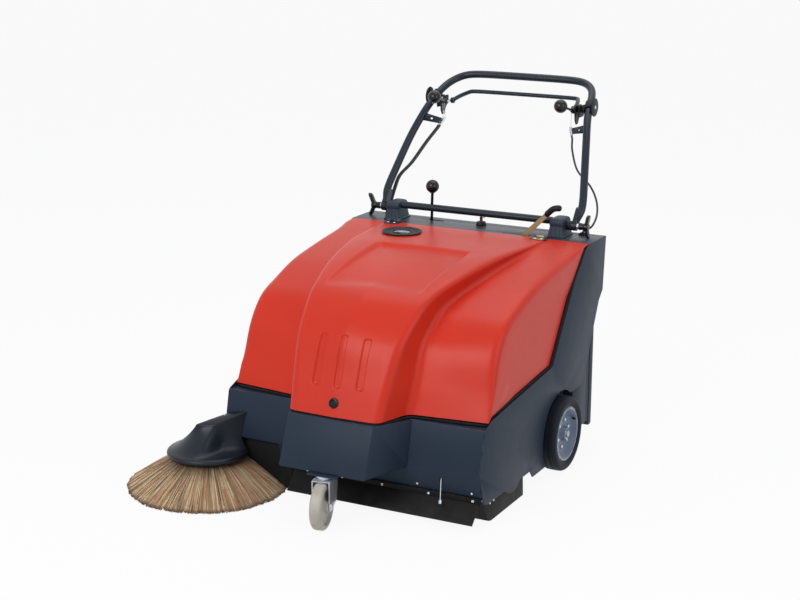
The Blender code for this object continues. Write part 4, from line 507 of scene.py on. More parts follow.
def screw_head(centre, axis, radius, height):
    """A domed screw head with a cross slot pressed into it."""
    work = bmesh.new()
    steps, rings = 24, 6
    rows = []
    for ring in range(rings):
        out = radius * math.cos(math.pi / 2 * ring / rings)
        rows.append(circle(work, out, height * math.sin(math.pi / 2 * ring / rings), steps))
        for vert in rows[-1]:
            if min(abs(vert.co.x), abs(vert.co.y)) < radius * 0.14 and out < radius * 0.72:
                vert.co.z -= height * 0.55
    skinned(work, rows)
    stood(work, centre, axis)
    return mesh_from(work, "screw_head", 40)


FOLD_ANGLE = 28             # degrees from which an edge is a fold to be rounded


def refined(node, width):
    """A copy of a CAD node's mesh with its long sharp edges rounded and marked as edges."""
    work = bmesh.new()
    work.from_mesh(frame["nodes"][node].data)
    bmesh.ops.remove_doubles(work, verts=work.verts, dist=2 * MERGE)
    bmesh.ops.dissolve_limit(work, angle_limit=math.radians(0.4), verts=work.verts, edges=work.edges,
                             use_dissolve_boundaries=False)
    bmesh.ops.triangulate(work, faces=[f for f in work.faces if len(f.verts) > 4])
    sharp = [e for e in work.edges if len(e.link_faces) == 2 and e.calc_length() > width * 4
             and e.calc_face_angle(0) > math.radians(FOLD_ANGLE)]
    rims = bmesh.ops.bevel(work, geom=sharp, offset=width, segments=2, profile=0.5, affect="EDGES",
                           clamp_overlap=True, miter_outer="ARC")["faces"]
    mark = work.loops.layers.float.new("edge")
    for face in rims:
        for loop in face.loops:
            loop[mark] = 1.0
    bmesh.ops.triangulate(work, faces=[f for f in work.faces if len(f.verts) > 4])
    return mesh_from(work, node + "_refined", 32, mend=False)


def boolean(mesh, cutters):
    """A mesh with others cut from it, exactly."""
    base = linked("base", mesh)
    helpers = [linked("cutter", cutter) for cutter in cutters]
    for helper in helpers:
        step = base.modifiers.new("cut", "BOOLEAN")
        step.operation, step.solver, step.object = "DIFFERENCE", "EXACT", helper
    done = applied(base, *helpers)
    done.shade_smooth()
    done.set_sharp_from_angle(angle=math.radians(35))
    return done


# Finishes, with their colours in linear light

SLATE = finish("slate_powder_coat", (0.017, 0.029, 0.048), (0.012, 0.022, 0.038), patch=3.5, rough=0.46,
               ior=1.25, drift=0.1, grain=1500, bump=0.1, edge=(0.1, 0.125, 0.16), edge_amount=0.45,
               dust=0.05, dust_height=0.2)
PLATE_BLUE = finish("plate_powder_coat", (0.055, 0.068, 0.086), (0.042, 0.054, 0.072), patch=5, rough=0.4,
                    ior=1.35, drift=0.1, grain=1500, bump=0.08, metallic=0.15, edge=(0.26, 0.29, 0.33),
                    edge_amount=0.5)
TUBE_COAT = finish("tube_powder_coat", (0.008, 0.016, 0.027), (0.012, 0.021, 0.034), patch=9, rough=0.32,
                   drift=0.1, grain=1600, bump=0.06, coat=0.1, coat_rough=0.18, ior=1.32)
HOOD_RED = finish("moulded_hood", (0.62, 0.032, 0.012), (0.54, 0.028, 0.012), patch=2.2, share=0.6,
                  rough=0.36, ior=1.31, drift=0.1, grain=1100, bump=0.14, edge=(0.8, 0.16, 0.1),
                  edge_amount=0.35)
COVER_NAVY = finish("brush_cover_plastic", (0.006, 0.011, 0.018), (0.009, 0.015, 0.023), patch=7, rough=0.33,
                    ior=1.32, drift=0.12, grain=1300, bump=0.05, edge=(0.09, 0.1, 0.12), edge_amount=0.4,
                    dust=0.1, dust_height=0.14)
BLOCK_PLASTIC = finish("block_plastic", (0.019, 0.033, 0.054), (0.026, 0.041, 0.062), patch=18, rough=0.5,
                       ior=1.36, drift=0.12, grain=900, bump=0.16, edge=(0.1, 0.115, 0.135), edge_amount=0.5)
PLAIN_BLACK = finish("black_plastic", (0.006, 0.007, 0.009), (0.011, 0.012, 0.014), patch=15, rough=0.42,
                     ior=1.3, drift=0.12, grain=900, bump=0.12)
GLOSS_BLACK = finish("gloss_black", (0.004, 0.004, 0.005), (0.006, 0.006, 0.007), patch=12, rough=0.1,
                     ior=1.34, drift=0.03, grain=300, bump=0.01, coat=0.15, coat_rough=0.03)
RUBBER = finish("sheet_rubber", (0.004, 0.004, 0.0045), (0.008, 0.007, 0.007), patch=9, rough=0.62, ior=1.25,
                drift=0.16, grain=700, bump=0.18, edge=(0.06, 0.05, 0.042), edge_amount=0.5, dust=0.12,
                dust_height=0.06)
CABLE_BLACK = finish("cable_sheath", (0.012, 0.013, 0.015), (0.018, 0.019, 0.021), patch=20, rough=0.36,
                     drift=0.08, grain=900, bump=0.05)
TYRE = finish("tyre_rubber", (0.006, 0.01, 0.016), (0.01, 0.014, 0.02), patch=14, rough=0.58, ior=1.25,
              drift=0.14, grain=800, bump=0.16, dust=0.08, dust_height=0.06)
RIM = finish("rim_plastic", (0.09, 0.13, 0.205), (0.11, 0.15, 0.225), patch=16, rough=0.36, drift=0.1,
             grain=900, bump=0.06, edge=(0.42, 0.46, 0.52), edge_amount=0.8, dust=0.12, dust_height=0.14)
ZINC = finish("bright_zinc", (0.6, 0.64, 0.68), (0.46, 0.5, 0.55), patch=42, share=0.7, rough=0.34,
              drift=0.16, grain=1400, bump=0.06, metallic=0.75, dust=0.12, dust_height=0.1)
GOLD_ZINC = finish("yellow_zinc", (0.36, 0.29, 0.13), (0.3, 0.27, 0.15), patch=55, share=0.8, rough=0.4,
                   drift=0.14, grain=1400, bump=0.08, metallic=0.45)
STEEL = finish("plain_steel", (0.4, 0.41, 0.43), (0.3, 0.31, 0.33), patch=26, rough=0.33, drift=0.14,
               grain=1200, bump=0.06, metallic=1.0)
CREAM = finish("cream_nylon", (0.46, 0.44, 0.38), (0.36, 0.33, 0.27), patch=30, share=0.6, rough=0.42,
               ior=1.4, drift=0.12, grain=800, bump=0.08, dust=0.3, dust_height=0.09)
KEY_RED = finish("isolator_red", (0.2, 0.012, 0.016), (0.15, 0.01, 0.014), patch=30, rough=0.32, drift=0.08,
                 grain=900, bump=0.05)
BATTERY_GREY = finish("battery_case", (0.03, 0.032, 0.036), (0.044, 0.046, 0.05), patch=12, rough=0.5,
                      drift=0.1, grain=700, bump=0.22)
PAPER = finish("filter_paper", (0.62, 0.57, 0.46), (0.5, 0.46, 0.38), patch=10, rough=0.9, drift=0.05,
               grain=600, bump=0.3)
DIAL_FACE = finish("dial_face", (0.3, 0.29, 0.36), (0.26, 0.25, 0.31), patch=20, rough=0.35, drift=0.05,
                   grain=900, bump=0.02)
# The dial face glows a little: painted light standing in for the lamp light that the glass over it keeps off.
dial_glow_shader = DIAL_FACE.node_tree.nodes["Principled BSDF"]
dial_glow_shader.inputs["Emission Color"].default_value = (0.36, 0.35, 0.44, 1)
dial_glow_shader.inputs["Emission Strength"].default_value = 0.7
DIAL_MARK = finish("dial_marks", (0.48, 0.48, 0.52), rough=0.4, grain=900, bump=0.02)
# A near-black finish for sheets that stand in for shade: painted shade in the lock's slot and round the hinge
# leaves.
PAINTED_SHADE = finish("inside_dark", (0.006, 0.006, 0.007), (0.01, 0.01, 0.011), patch=10, rough=0.7, grain=600,
                  bump=0.1)


def bristle_finish(name, tones, streak, root):
    """Bristle colour by strand, from an attribute each strand carries, with painted shade darkening it
    towards its root, and darker at its very tip.
    """
    made, tree, shader = new_material(name)
    ramp = added(tree, "ShaderNodeValToRGB", Fac=carried(tree, "strand"))
    while len(ramp.color_ramp.elements) < len(tones):
        ramp.color_ramp.elements.new(0.5)
    for index, (element, tone) in enumerate(zip(ramp.color_ramp.elements, tones)):
        element.position = index / (len(tones) - 1)
        element.color = (*tone, 1)
    along = carried(tree, "along")
    dirt = spread(tree, noise_in(tree, own_place(tree), 45.0, 4), 0.45, 0.75)
    shown = blended(tree, dirt * 0.35, ramp.outputs["Color"], streak)
    # Painted shade: strands darken towards their root, where the cover and the other strands shade them; the
    # same tone darkens the very tip.
    shown = blended(tree, spread(tree, along, 0.55, 0.0) * 0.75, shown, root)
    shown = blended(tree, spread(tree, along, 0.93, 1.0) * 0.55, shown, root)
    feed(tree, shader.inputs["Base Color"], shown)
    feed(tree, shader.inputs["Roughness"], dirt * 0.1 + 0.5)
    made.diffuse_color = (*tones[0], 1)
    return made


STRAW_TONES = [(0.075, 0.034, 0.018), (0.42, 0.28, 0.14), (0.76, 0.6, 0.36), (0.38, 0.125, 0.052),
               (0.88, 0.75, 0.5), (0.2, 0.105, 0.05), (0.66, 0.48, 0.26), (0.42, 0.16, 0.07),
               (0.54, 0.38, 0.19), (0.92, 0.82, 0.58)]
BROOM_TONES = [(0.02, 0.02, 0.021), (0.034, 0.033, 0.032), (0.014, 0.014, 0.015)]
# The last colour given to each bristle finish is its painted shade tone for the root.
STRAW = bristle_finish("straw_bristle", STRAW_TONES, (0.22, 0.105, 0.055), (0.06, 0.032, 0.018))
BROOM_BLACK = bristle_finish("broom_bristle", BROOM_TONES, (0.08, 0.07, 0.06), (0.006, 0.006, 0.006))


def glass_finish():
    """Clear glass, a little smeared."""
    made, tree, shader = new_material("gauge_glass")
    shader.inputs["Base Color"].default_value = (0.86, 0.86, 0.93, 1)
    shader.inputs["Transmission Weight"].default_value = 1.0
    shader.inputs["IOR"].default_value = 1.45
    smear = spread(tree, noise_in(tree, own_place(tree), 60.0, 3), 0.4, 0.8)
    feed(tree, shader.inputs["Roughness"], smear * 0.06 + 0.03)
    return made


GLASS = glass_finish()


# Hood: one smooth moulding lofted over stations from its front foot (0) to its rear edge (9)

HALF_WIDTH = 0.3627
SHEET = 0.003
HOOD_FOOT_Z = 0.2582
HOOD_REAR_Y = 0.6535
HOOD_SIDE_X = HALF_WIDTH - SHEET - PLAY - 0.002
HOOD_WALL = 0.004
INSET = 0.004               # depth of the flat panel in the flank
TRAY_DEPTH = 0.01
TRAY_HALF = 0.14
TRAY_REAR_Y = 0.398
TRAY_FRONT_Y = 0.084
TRAY_LIP = 0.055            # length of the slope at its front
TRAY_SLOPE = 0.019
GROOVE_PITCH = 0.0605
GROOVE_HALF = 0.011
GROOVE_DEPTH = 0.0046
GROOVE_SLOPE = 0.0038
GROOVE_ENDS = (0.66, 2.06)  # stations of a groove's lower and upper end
GAUGE = Vector((-0.13, 0.517, 0.5859))
GAUGE_R = 0.055
LOCK_AT = Vector((0, -0.0925, 0.29))
LOCK_R = 0.013
NOSE_OUT = Vector((0, -0.09437, 0.033078)).normalized()
HINGE_X, HINGE_Y, HINGE_Z = 0.223, 0.65, 0.5832
CREST_ROUND, FOOT_ROUND, SHOULDER_ROUND = 0.022, 0.02, 0.026    # how round the hood's long edges are

CENTRE = [(0, -0.104, 0.2582), (0, -0.07, 0.355), (0, -0.036, 0.445), (0, 0.035, 0.518), (0, 0.105, 0.545),
          (0, 0.21, 0.567), (0, 0.318, 0.58), (0, 0.417, 0.585), (0, 0.53, 0.584), (0, HOOD_REAR_Y, 0.5785)]
CREST = [(0.124, -0.0995, 0.2582), (0.1345, -0.063, 0.353), (0.147, -0.018, 0.438), (0.1625, 0.0545, 0.506),
         (0.172, 0.113, 0.536), (0.195, 0.213, 0.561), (0.2145, 0.318, 0.576), (0.23, 0.417, 0.5826),
         (0.24, 0.53, 0.5825), (0.243, HOOD_REAR_Y, 0.5783)]
FOOT = [(0.1545, 0.004, 0.2582), (0.1616, 0.03, 0.335), (0.161, 0.068, 0.418), (0.1655, 0.13, 0.474),
        (0.172, 0.18, 0.498), (0.19, 0.26, 0.522), (0.2075, 0.34, 0.5405), (0.2236, 0.445, 0.5556),
        (0.24, 0.55, 0.568), (0.249, HOOD_REAR_Y, 0.578)]
SHOULDER = [(0.354, 0.029, 0.2582), (0.356, 0.055, 0.32), (0.354, 0.085, 0.412), (0.3535, 0.135, 0.472),
            (0.354, 0.21, 0.503), (0.356, 0.301, 0.5315), (0.357, 0.4, 0.548), (0.3575, 0.5, 0.562),
            (0.3575, 0.6, 0.573), (HOOD_SIDE_X, HOOD_REAR_Y, 0.5775)]
SEAM_TOP = [(0.031, HOOD_FOOT_Z), (0.0455, 0.2702), (0.4139, 0.303), (0.5492, 0.4946), (0.6287, 0.5709)]
INSET_AT = [1, 1, 0.85, 0.27, 0.25, 0.36, 0.58, 1, 1, 1]    # share of the flank above the inset's edge


def lower_knots():
    corners = [Vector(p) for p in SEAM_TOP]
    made = [corners[0]] + [corners[1].lerp(corners[2], share) for share in (0, 0.33, 0.67, 1)]
    made += [corners[2].lerp(corners[3], share) for share in (0.38, 0.7, 1)]
    made += [corners[4], Vector((HOOD_REAR_Y, 0.5735))]
    return [(HOOD_SIDE_X, p.x, p.y) for p in made]


LOWER = lower_knots()


def along(knots, t, smooth=True):
    """The point at station t on a line of knots, on a smooth curve or on straight runs."""
    knots = [Vector(k) for k in knots]
    i = min(int(t), len(knots) - 2)
    share = t - i
    b, c = knots[i], knots[i + 1]
    if not smooth:
        return b.lerp(c, share)
    a = knots[i - 1] if i else b * 2 - c
    d = knots[i + 2] if i + 2 < len(knots) else c * 2 - b
    return spline(a, b, c, d, share)


def ease(value):
    value = min(1, max(0, value))
    return value * value * (3 - 2 * value)


def round_corner(before, corner, after, radius, steps):
    """Points round a corner in space, the rounding held inside its two runs."""
    reach_in = min(radius, (corner - before).length * 0.48)
    reach_out = min(radius, (after - corner).length * 0.48)
    begin = corner + (before - corner).normalized() * reach_in
    end = corner + (after - corner).normalized() * reach_out
    shares = [step / steps for step in range(steps + 1)]
    return [begin.lerp(corner, share).lerp(corner.lerp(end, share), share) for share in shares]


def tray_depth(point):
    """How far the tray sinks the hood's top at a point."""
    side = ease((TRAY_HALF - abs(point.x)) / TRAY_SLOPE)
    rear = ease((TRAY_REAR_Y - point.y) / TRAY_SLOPE)
    front = ease((point.y - TRAY_FRONT_Y) / TRAY_LIP)
    return TRAY_DEPTH * side * rear * front


def nose_length(t):
    """Distance up the nose's middle line from the foot to a station."""
    steps = 40
    points = [along(CENTRE, t * i / steps) for i in range(steps + 1)]
    return sum((b - a).length for a, b in zip(points, points[1:]))


GROOVE_LOW, GROOVE_HIGH = (nose_length(t) for t in GROOVE_ENDS)


def groove_depth(x, rise):
    """How far a groove sinks the nose at x, at a distance up its middle line."""
    nearest = min((-GROOVE_PITCH, 0.0, GROOVE_PITCH), key=lambda middle: abs(x - middle))
    past = max(GROOVE_LOW + GROOVE_HALF - rise, rise - GROOVE_HIGH + GROOVE_HALF, 0)
    return GROOVE_DEPTH * ease((GROOVE_HALF - math.hypot(x - nearest, past)) / GROOVE_SLOPE)


def crown_places():
    """Places across the nose and top, close together where the grooves and the tray's edge are."""
    places = {0.0, 0.0045, 0.0135, 0.02, 0.028, 0.036, 0.044, 0.074, 0.082, 0.092, 0.102, 0.111, 0.116}
    for step in range(7):
        places.add(round(0.0062 + step * 0.0009, 5))
        places.add(round(GROOVE_PITCH - 0.0118 + step * 0.0009, 5))
        places.add(round(GROOVE_PITCH + 0.0064 + step * 0.0009, 5))
        places.add(round(TRAY_HALF - TRAY_SLOPE + step * TRAY_SLOPE / 6, 5))
    return sorted(places)


CROWN = crown_places()


def hood_section(t):
    """Half a cross-section of the hood at a station, from its centre to its lower edge."""
    centre, crest, foot = along(CENTRE, t), along(CREST, t), along(FOOT, t)
    shoulder, lower = along(SHOULDER, t), along(LOWER, t, smooth=False)
    up = (along(CENTRE, min(9, t + 0.05)) - along(CENTRE, max(0, t - 0.05))).normalized()
    inward = Vector((0, up.z, -up.y))
    rise = nose_length(t) if t < 3 else 1.0
    reach = crest.x - CREST_ROUND
    points = []
    for x in CROWN:
        place = centre.lerp(crest, min(x, reach) / crest.x)
        sink = groove_depth(place.x, rise) if t < 3 else 0
        points.append(place + inward * sink - Vector((0, 0, tray_depth(place))))
    points += round_corner(centre, crest, foot, CREST_ROUND, 9)
    points += round_corner(crest, foot, shoulder, FOOT_ROUND, 7)
    points += [foot.lerp(shoulder, 0.35), foot.lerp(shoulder, 0.5), foot.lerp(shoulder, 0.65)]
    points += round_corner(foot, shoulder, lower, SHOULDER_ROUND, 9)
    split = 1
    if t < 9:
        split = INSET_AT[min(int(t), 8)] * (1 - t % 1) + INSET_AT[min(int(t) + 1, 9)] * (t % 1)
    deep = INSET * min(1, (1 - split) * 4)
    start = points[-1]
    for share, depth in ((0.3, 0), (0.62, 0), (0.94, 0), (0.955, 0.35), (0.975, 0.8), (0.99, 1)):
        points.append(start.lerp(lower, split * share) - Vector((deep * depth, 0, 0)))
    for share in (0.04, 0.3, 0.65, 1):
        points.append(start.lerp(lower, min(1, split + (1 - split) * share)) - Vector((deep, 0, 0)))
    return points


def hood_stations():
    places = {round(i / 8, 4) for i in range(73)} | {1.0, 4.0, 7.0, 8.0, 6.58, 6.66, 6.72, 6.76, 6.82}
    for end in GROOVE_ENDS:
        for step in range(-8, 9):
            places.add(round(end + step * 0.022, 4))
    return sorted(places)


def hood_shell():
    """The hood's skin and its mirror half as one sheet, given its wall inward."""
    work = bmesh.new()
    rows = []
    for t in hood_stations():
        half = hood_section(t)
        full = [Vector((-p.x, p.y, p.z)) for p in reversed(half[1:])] + half
        rows.append([work.verts.new(p) for p in full])
    for low, high in zip(rows, rows[1:]):
        for a, b, c, d in zip(low, low[1:], high[1:], high):
            work.faces.new((a, b, c, d))
    bmesh.ops.remove_doubles(work, verts=work.verts, dist=3 * MERGE)
    bmesh.ops.recalc_face_normals(work, faces=work.faces)
    top = max(work.faces, key=lambda face: face.calc_center_median().z)
    if top.normal.z < 0:
        bmesh.ops.reverse_faces(work, faces=work.faces)
    skin = linked("skin", plain_mesh(work, "hood_skin"))
    wall = skin.modifiers.new("wall", "SOLIDIFY")
    wall.thickness = HOOD_WALL
    wall.offset = -1
    return boolean(applied(skin), [
        bar(LOCK_AT - NOSE_OUT * 0.02, LOCK_AT + NOSE_OUT * 0.02, LOCK_R - 0.003 + PLAY, 32),
        bar(GAUGE - Vector((0, 0, 0.03)), GAUGE + Vector((0, 0, 0.03)), GAUGE_R - 0.0075, 64)])


piece("hood_moulding", hood_shell(), HOOD_RED, "hood", ["hood"])


def marked(mesh, chosen):
    """Mark the faces chosen by their centre and normal as paler edges, partly wear and partly painted
    highlight.
    """
    mark = mesh.attributes.new("edge", "FLOAT", "CORNER")
    for face in mesh.polygons:
        if chosen(face.center, face.normal):
            for loop in face.loop_indices:
                mark.data[loop].value = 1.0
    return mesh


# Wheels: tyre with a rounded shoulder and fine grooves, dished rim with a paler lip and hub ring, their pale
# colour partly a painted highlight

TYRE_R = 0.1
TYRE_WIDTH = 0.05
TYRE_OUT_X = 0.388
RIM_R = 0.0731
AXLE_Z = 0.1
SPOKES = 6
BOLTS_R = 0.036             # radius of the circle of rim bolts
ROUND_STEPS = 112           # sides of the roundest turned pieces


def tyre_profile():
    half = TYRE_WIDTH / 2
    side = [(RIM_R, half - 0.0045), (RIM_R + 0.003, half - 0.0022), (0.08, half - 0.0012),
            (0.0815, half - 0.0002), (0.0875, half), *arc((0.0885, half - 0.0112), 0.0112, 88, 10, 9),
            (TYRE_R - 0.0001, half - 0.014)]
    groove = [(TYRE_R, 0.009), (TYRE_R - 0.0018, 0.0084), (TYRE_R - 0.0018, 0.0064), (TYRE_R, 0.0058)]
    return both_faces(side + groove)


def rim_profile():
    half = TYRE_WIDTH / 2
    face = [(0.0083, half - 0.0072), (0.0105, half - 0.006), (0.0148, half - 0.0056), (0.0158, half - 0.0066),
            (0.0172, half - 0.0105), (0.021, half - 0.0165), (0.026, half - 0.018), (0.048, half - 0.0172),
            (0.056, half - 0.014), (0.063, half - 0.006), (0.065, half - 0.0042), (0.0668, half - 0.0034),
            (0.0712, half - 0.0034), (RIM_R - PLAY, half - 0.0048)]
    back = [(RIM_R - PLAY, -half + 0.005), (0.066, -half + 0.005), (0.06, half - 0.0235),
            (0.018, half - 0.025), (0.016, -half + 0.004), (0.0083, -half + 0.004)]
    return face + back


for side_name, side in SIDES.items():
    middle = Vector((side * (TYRE_OUT_X - TYRE_WIDTH / 2), AXLE_Y, AXLE_Z))
    out = Vector((side, 0, 0))
    body = "wheel_" + side_name
    tyre = lathe(tyre_profile(), middle, out, ROUND_STEPS, ring=True)
    piece("tyre_" + side_name + "_rubber", tyre, TYRE, body, ["tyre_" + side_name])
    rim = lathe(rim_profile(), middle, out, ROUND_STEPS, ring=True)
    # The outward faces of the rim's lip and hub ring are marked paler: partly wear, partly a painted
    # highlight.
    marked(rim, lambda at, normal: normal.x * side > 0.3 and (0.066 < (at - middle).yz.length < 0.0725
                                                             or 0.01 < (at - middle).yz.length < 0.0152))
    piece("rim_" + side_name + "_disc", rim, RIM, body, ["rim_" + side_name])
    face_x = middle + out * (TYRE_WIDTH / 2 - 0.0176)
    bolts = []
    for step in range(SPOKES):
        angle = math.tau * (step + 0.25) / SPOKES
        at = face_x + Vector((0, math.cos(angle), math.sin(angle))) * BOLTS_R
        bolts.append(nut(at, out, 0.0085, 0.0034))
    piece("rim_bolts_" + side_name, joined("bolts", bolts, 25), ZINC, body)
    cap = lathe([(0, 0.0032), (0.004, 0.003), (0.0062, 0.002), (0.0068, 0.0004), (0.0068, -0.001),
                 (0, -0.001)],
                middle + out * (TYRE_WIDTH / 2 - 0.0059), out, 40)
    piece("hub_cap_" + side_name, cap, PLAIN_BLACK, body)
    stem = bar(middle + out * (TYRE_WIDTH / 2 - 0.011) + Vector((0, 0.05, 0.028)),
               middle + out * (TYRE_WIDTH / 2 - 0.001) + Vector((0, 0.049, 0.0275)), 0.0028, 20)
    piece("valve_" + side_name, stem, PLAIN_BLACK, body)


# Caster wheel

CASTER_R = 0.0595
CASTER_AT = Vector((0.016569, -0.183257, CASTER_R))
CASTER_AXIS = Vector((math.cos(math.radians(12)), math.sin(math.radians(12)), 0))
caster_half = [(0.0053, 0.019), (0.0135, 0.019), (0.0145, 0.0182), (0.0165, 0.0108), (0.02, 0.009),
               (0.04, 0.0086), (0.043, 0.0098), (0.0455, 0.0132), (0.0475, 0.015),
               *arc((0.051, 0.0065), 0.0085, 84, 6, 9)]
caster = lathe(both_faces(caster_half), CASTER_AT, CASTER_AXIS, 96, ring=True)
piece("caster_wheel_nylon", caster, CREAM, "caster_roller", ["caster_wheel"])


# Bristles, grown by geometry nodes as bent strands on numbered points

def chance(tree, which, seed, low, high):
    """A random number between two values for each strand or tuft."""
    made = added(tree, "FunctionNodeRandomValue", {"data_type": "FLOAT"})
    for place, value in ((2, low), (3, high), (7, which), (8, seed)):
        feed(tree, made.inputs[place], value)
    return Amount(tree, made.outputs[1])


def between(share, low, high):
    """low where the share is 0, high where it is 1."""
    return low + share * (high - low)


def stored(tree, geometry, name, value, domain):
    made = added(tree, "GeometryNodeStoreNamedAttribute", {"data_type": "FLOAT", "domain": domain},
                 Geometry=geometry, Name=name, Value=value)
    return made.outputs[0]


def graph(name, numbers):
    """An empty geometry graph with named inputs, and their amounts."""
    tree = bpy.data.node_groups.new(name, "GeometryNodeTree")
    tree.interface.new_socket("Geometry", in_out="OUTPUT", socket_type="NodeSocketGeometry")
    kinds = {int: "Int", float: "Float", Vector: "Vector", Euler: "Rotation"}
    for label, value in numbers.items():
        kind = "NodeSocket" + kinds[type(value)]
        tree.interface.new_socket(label, in_out="INPUT", socket_type=kind).default_value = value
    return tree, amounts(tree, added(tree, "NodeGroupInput").outputs)


def strand_graph(name, numbers, place, material):
    """A graph that grows strands; place gives each of their points from its strand's number and share."""
    numbers = {"Count": 100, "Per Tuft": 10, "Per Clump": 5, "Points": 5, "Seed": 1, "Thickness": 0.0006,
               **numbers}
    tree, given = graph(name, numbers)
    points = added(tree, "GeometryNodePoints", Count=given["Count"]).outputs[0]
    line = added(tree, "GeometryNodeCurvePrimitiveLine").outputs[0]
    line = added(tree, "GeometryNodeResampleCurve", Curve=line, Count=given["Points"]).outputs[0]
    strands = added(tree, "GeometryNodeInstanceOnPoints", Points=points, Instance=line).outputs[0]
    strands = stored(tree, strands, "number", added(tree, "GeometryNodeInputIndex").outputs[0], "INSTANCE")
    strands = added(tree, "GeometryNodeRealizeInstances", Geometry=strands).outputs[0]
    number = added(tree, "GeometryNodeInputNamedAttribute", {"data_type": "FLOAT"}, Name="number").outputs[0]
    number = Amount(tree, number)
    tuft = ((number + 0.5) / given["Per Tuft"]).alone("FLOOR")
    share = Amount(tree, added(tree, "GeometryNodeSplineParameter").outputs["Factor"])

    def drawn(which, turn, low, high):
        return chance(tree, which, given["Seed"] + turn, low, high)

    spot = place(given, number, tuft, share, drawn)
    clump = ((number + 0.5) / given["Per Clump"]).alone("FLOOR")
    tone = (drawn(clump, 10, 0, 1) + drawn(number, 6, 0, 0.26)).alone("FRACT")
    spot = added(tree, "ShaderNodeCombineXYZ", None, spot).outputs[0]
    strands = added(tree, "GeometryNodeSetPosition", Geometry=strands, Position=spot).outputs[0]
    strands = stored(tree, strands, "strand", tone, "POINT")
    strands = stored(tree, strands, "along", share, "POINT")
    outline = added(tree, "GeometryNodeCurvePrimitiveCircle", {"mode": "RADIUS"}, Resolution=3,
                    Radius=given["Thickness"]).outputs[0]
    solid = added(tree, "GeometryNodeCurveToMesh", Curve=strands, Profile_Curve=outline,
                  Fill_Caps=True).outputs[0]
    return ended(tree, solid, material)


def ended(tree, geometry, material):
    """The last nodes of a graph: its material and its output."""
    shown = added(tree, "GeometryNodeSetMaterial", Geometry=geometry, Material=material).outputs[0]
    added(tree, "NodeGroupOutput", None, [shown])
    return tree


def grown(tree, centre=(0, 0, 0), **values):
    """The mesh that a graph makes with these inputs."""
    holder = linked("grown", bpy.data.meshes.new("grown"))
    step = holder.modifiers.new("grow", "NODES")
    step.node_group = tree
    wanted = {label.replace("_", " "): value for label, value in values.items()}
    for socket in tree.interface.items_tree:
        if socket.in_out == "INPUT" and socket.name in wanted:
            step[socket.identifier] = wanted[socket.name]
    mesh = applied(holder)
    mesh.transform(Matrix.Translation(centre))
    mesh.shade_smooth()
    return mesh


def disc_strand(given, number, tuft, share, drawn):
    """Strands that fan out and down from a ring, wider apart and uneven at their tips."""
    pitch = math.tau / (given["Count"] / given["Per Tuft"])
    ordered = (number - tuft * given["Per Tuft"]) / given["Per Tuft"] - 0.5
    off = ordered + drawn(number, 1, -0.06, 0.06)
    lean = drawn(tuft, 2, -1, 1) * given["Lean"]
    angle = (tuft + (off * between(share, 0.8, given["Fan"]) + lean * share)) * pitch
    short = drawn(tuft, 3, 0, 1) * given["Uneven"] + drawn(number, 4, 0, 1) * given["Uneven"]
    tip = given["Tip Radius"] - short - off * off * given["Scallop"]
    radius = between(share, given["Root Radius"] - drawn(number, 7, 0, 0.004), tip)
    high = given["Root Height"] - drawn(number, 8, 0, 0.016)
    low = given["Tip Height"] + drawn(number, 9, 0, 0.007)
    height = between(share, high, low) + (share * math.pi).alone("SINE") * given["Belly"]
    return radius * angle.alone("COSINE"), radius * angle.alone("SINE"), height


def roller_strand(given, number, tuft, share, drawn):
    """Strands that stand out from a core in tufts, along rows that run in a shallow vee."""
    row = ((tuft + 0.5) / given["Tufts In Row"]).alone("FLOOR")
    across = (tuft - row * given["Tufts In Row"] + 0.5) / given["Tufts In Row"] - 0.5
    x = across * given["Length"] + drawn(number, 1, -1, 1) * between(share, 0.003, 0.0105)
    sway = drawn(number, 2, -1, 1) * between(share, 0.05, 0.085)
    angle = row * (math.tau / BROOM_ROWS) + across.alone("ABSOLUTE") * given["Vee"] + sway
    radius = between(share, given["Root Radius"], given["Tip Radius"] - drawn(number, 3, 0, 0.005))
    return x, radius * angle.alone("COSINE"), radius * angle.alone("SINE")


BRUSH_AT = Vector((-0.39, -0.062, 0))
BRUSH_R = 0.2115
BROOM_AT = Vector((0, 0.265, 0.116))
BROOM_ROWS = 11

disc_graph = strand_graph(
    "disc_brush_strands",
    {"Root Radius": 0.0745, "Root Height": 0.0895, "Tip Radius": 0.21, "Tip Height": 0.0012, "Uneven": 0.0045,
     "Scallop": 0.018, "Fan": 1.3, "Lean": 0.22, "Belly": 0.004}, disc_strand, STRAW)
strands = grown(disc_graph, BRUSH_AT, Count=6600, Per_Tuft=100, Per_Clump=13, Points=5, Seed=11,
                Thickness=0.00085, Tip_Radius=BRUSH_R)
piece("side_brush_strands", strands, STRAW, "side_brush", ["side_brush"])
hub = lathe([(0.0066, 0.07), (0.064, 0.07), (0.0765, 0.076), (0.0775, 0.08), (0.075, 0.0915), (0.07, 0.0932),
             (0.0066, 0.0932)], BRUSH_AT, (0, 0, 1), 72, ring=True)
piece("side_brush_disc", hub, PLAIN_BLACK, "side_brush")

roller_graph = strand_graph(
    "roller_strands", {"Root Radius": 0.034, "Tip Radius": 0.1148, "Length": 0.5, "Vee": 0.9,
                       "Tufts In Row": 20},
    roller_strand, BROOM_BLACK)
strands = grown(roller_graph, BROOM_AT, Count=BROOM_ROWS * 20 * 20, Per_Tuft=20, Points=3, Seed=5,
                Thickness=0.0009, Tufts_In_Row=20, Length=0.492)
piece("broom_strands", strands, BROOM_BLACK, "broom", ["broom_bristles"])


# Side brush cover: a smooth trumpet that flows from the arm's flat top into the round rim

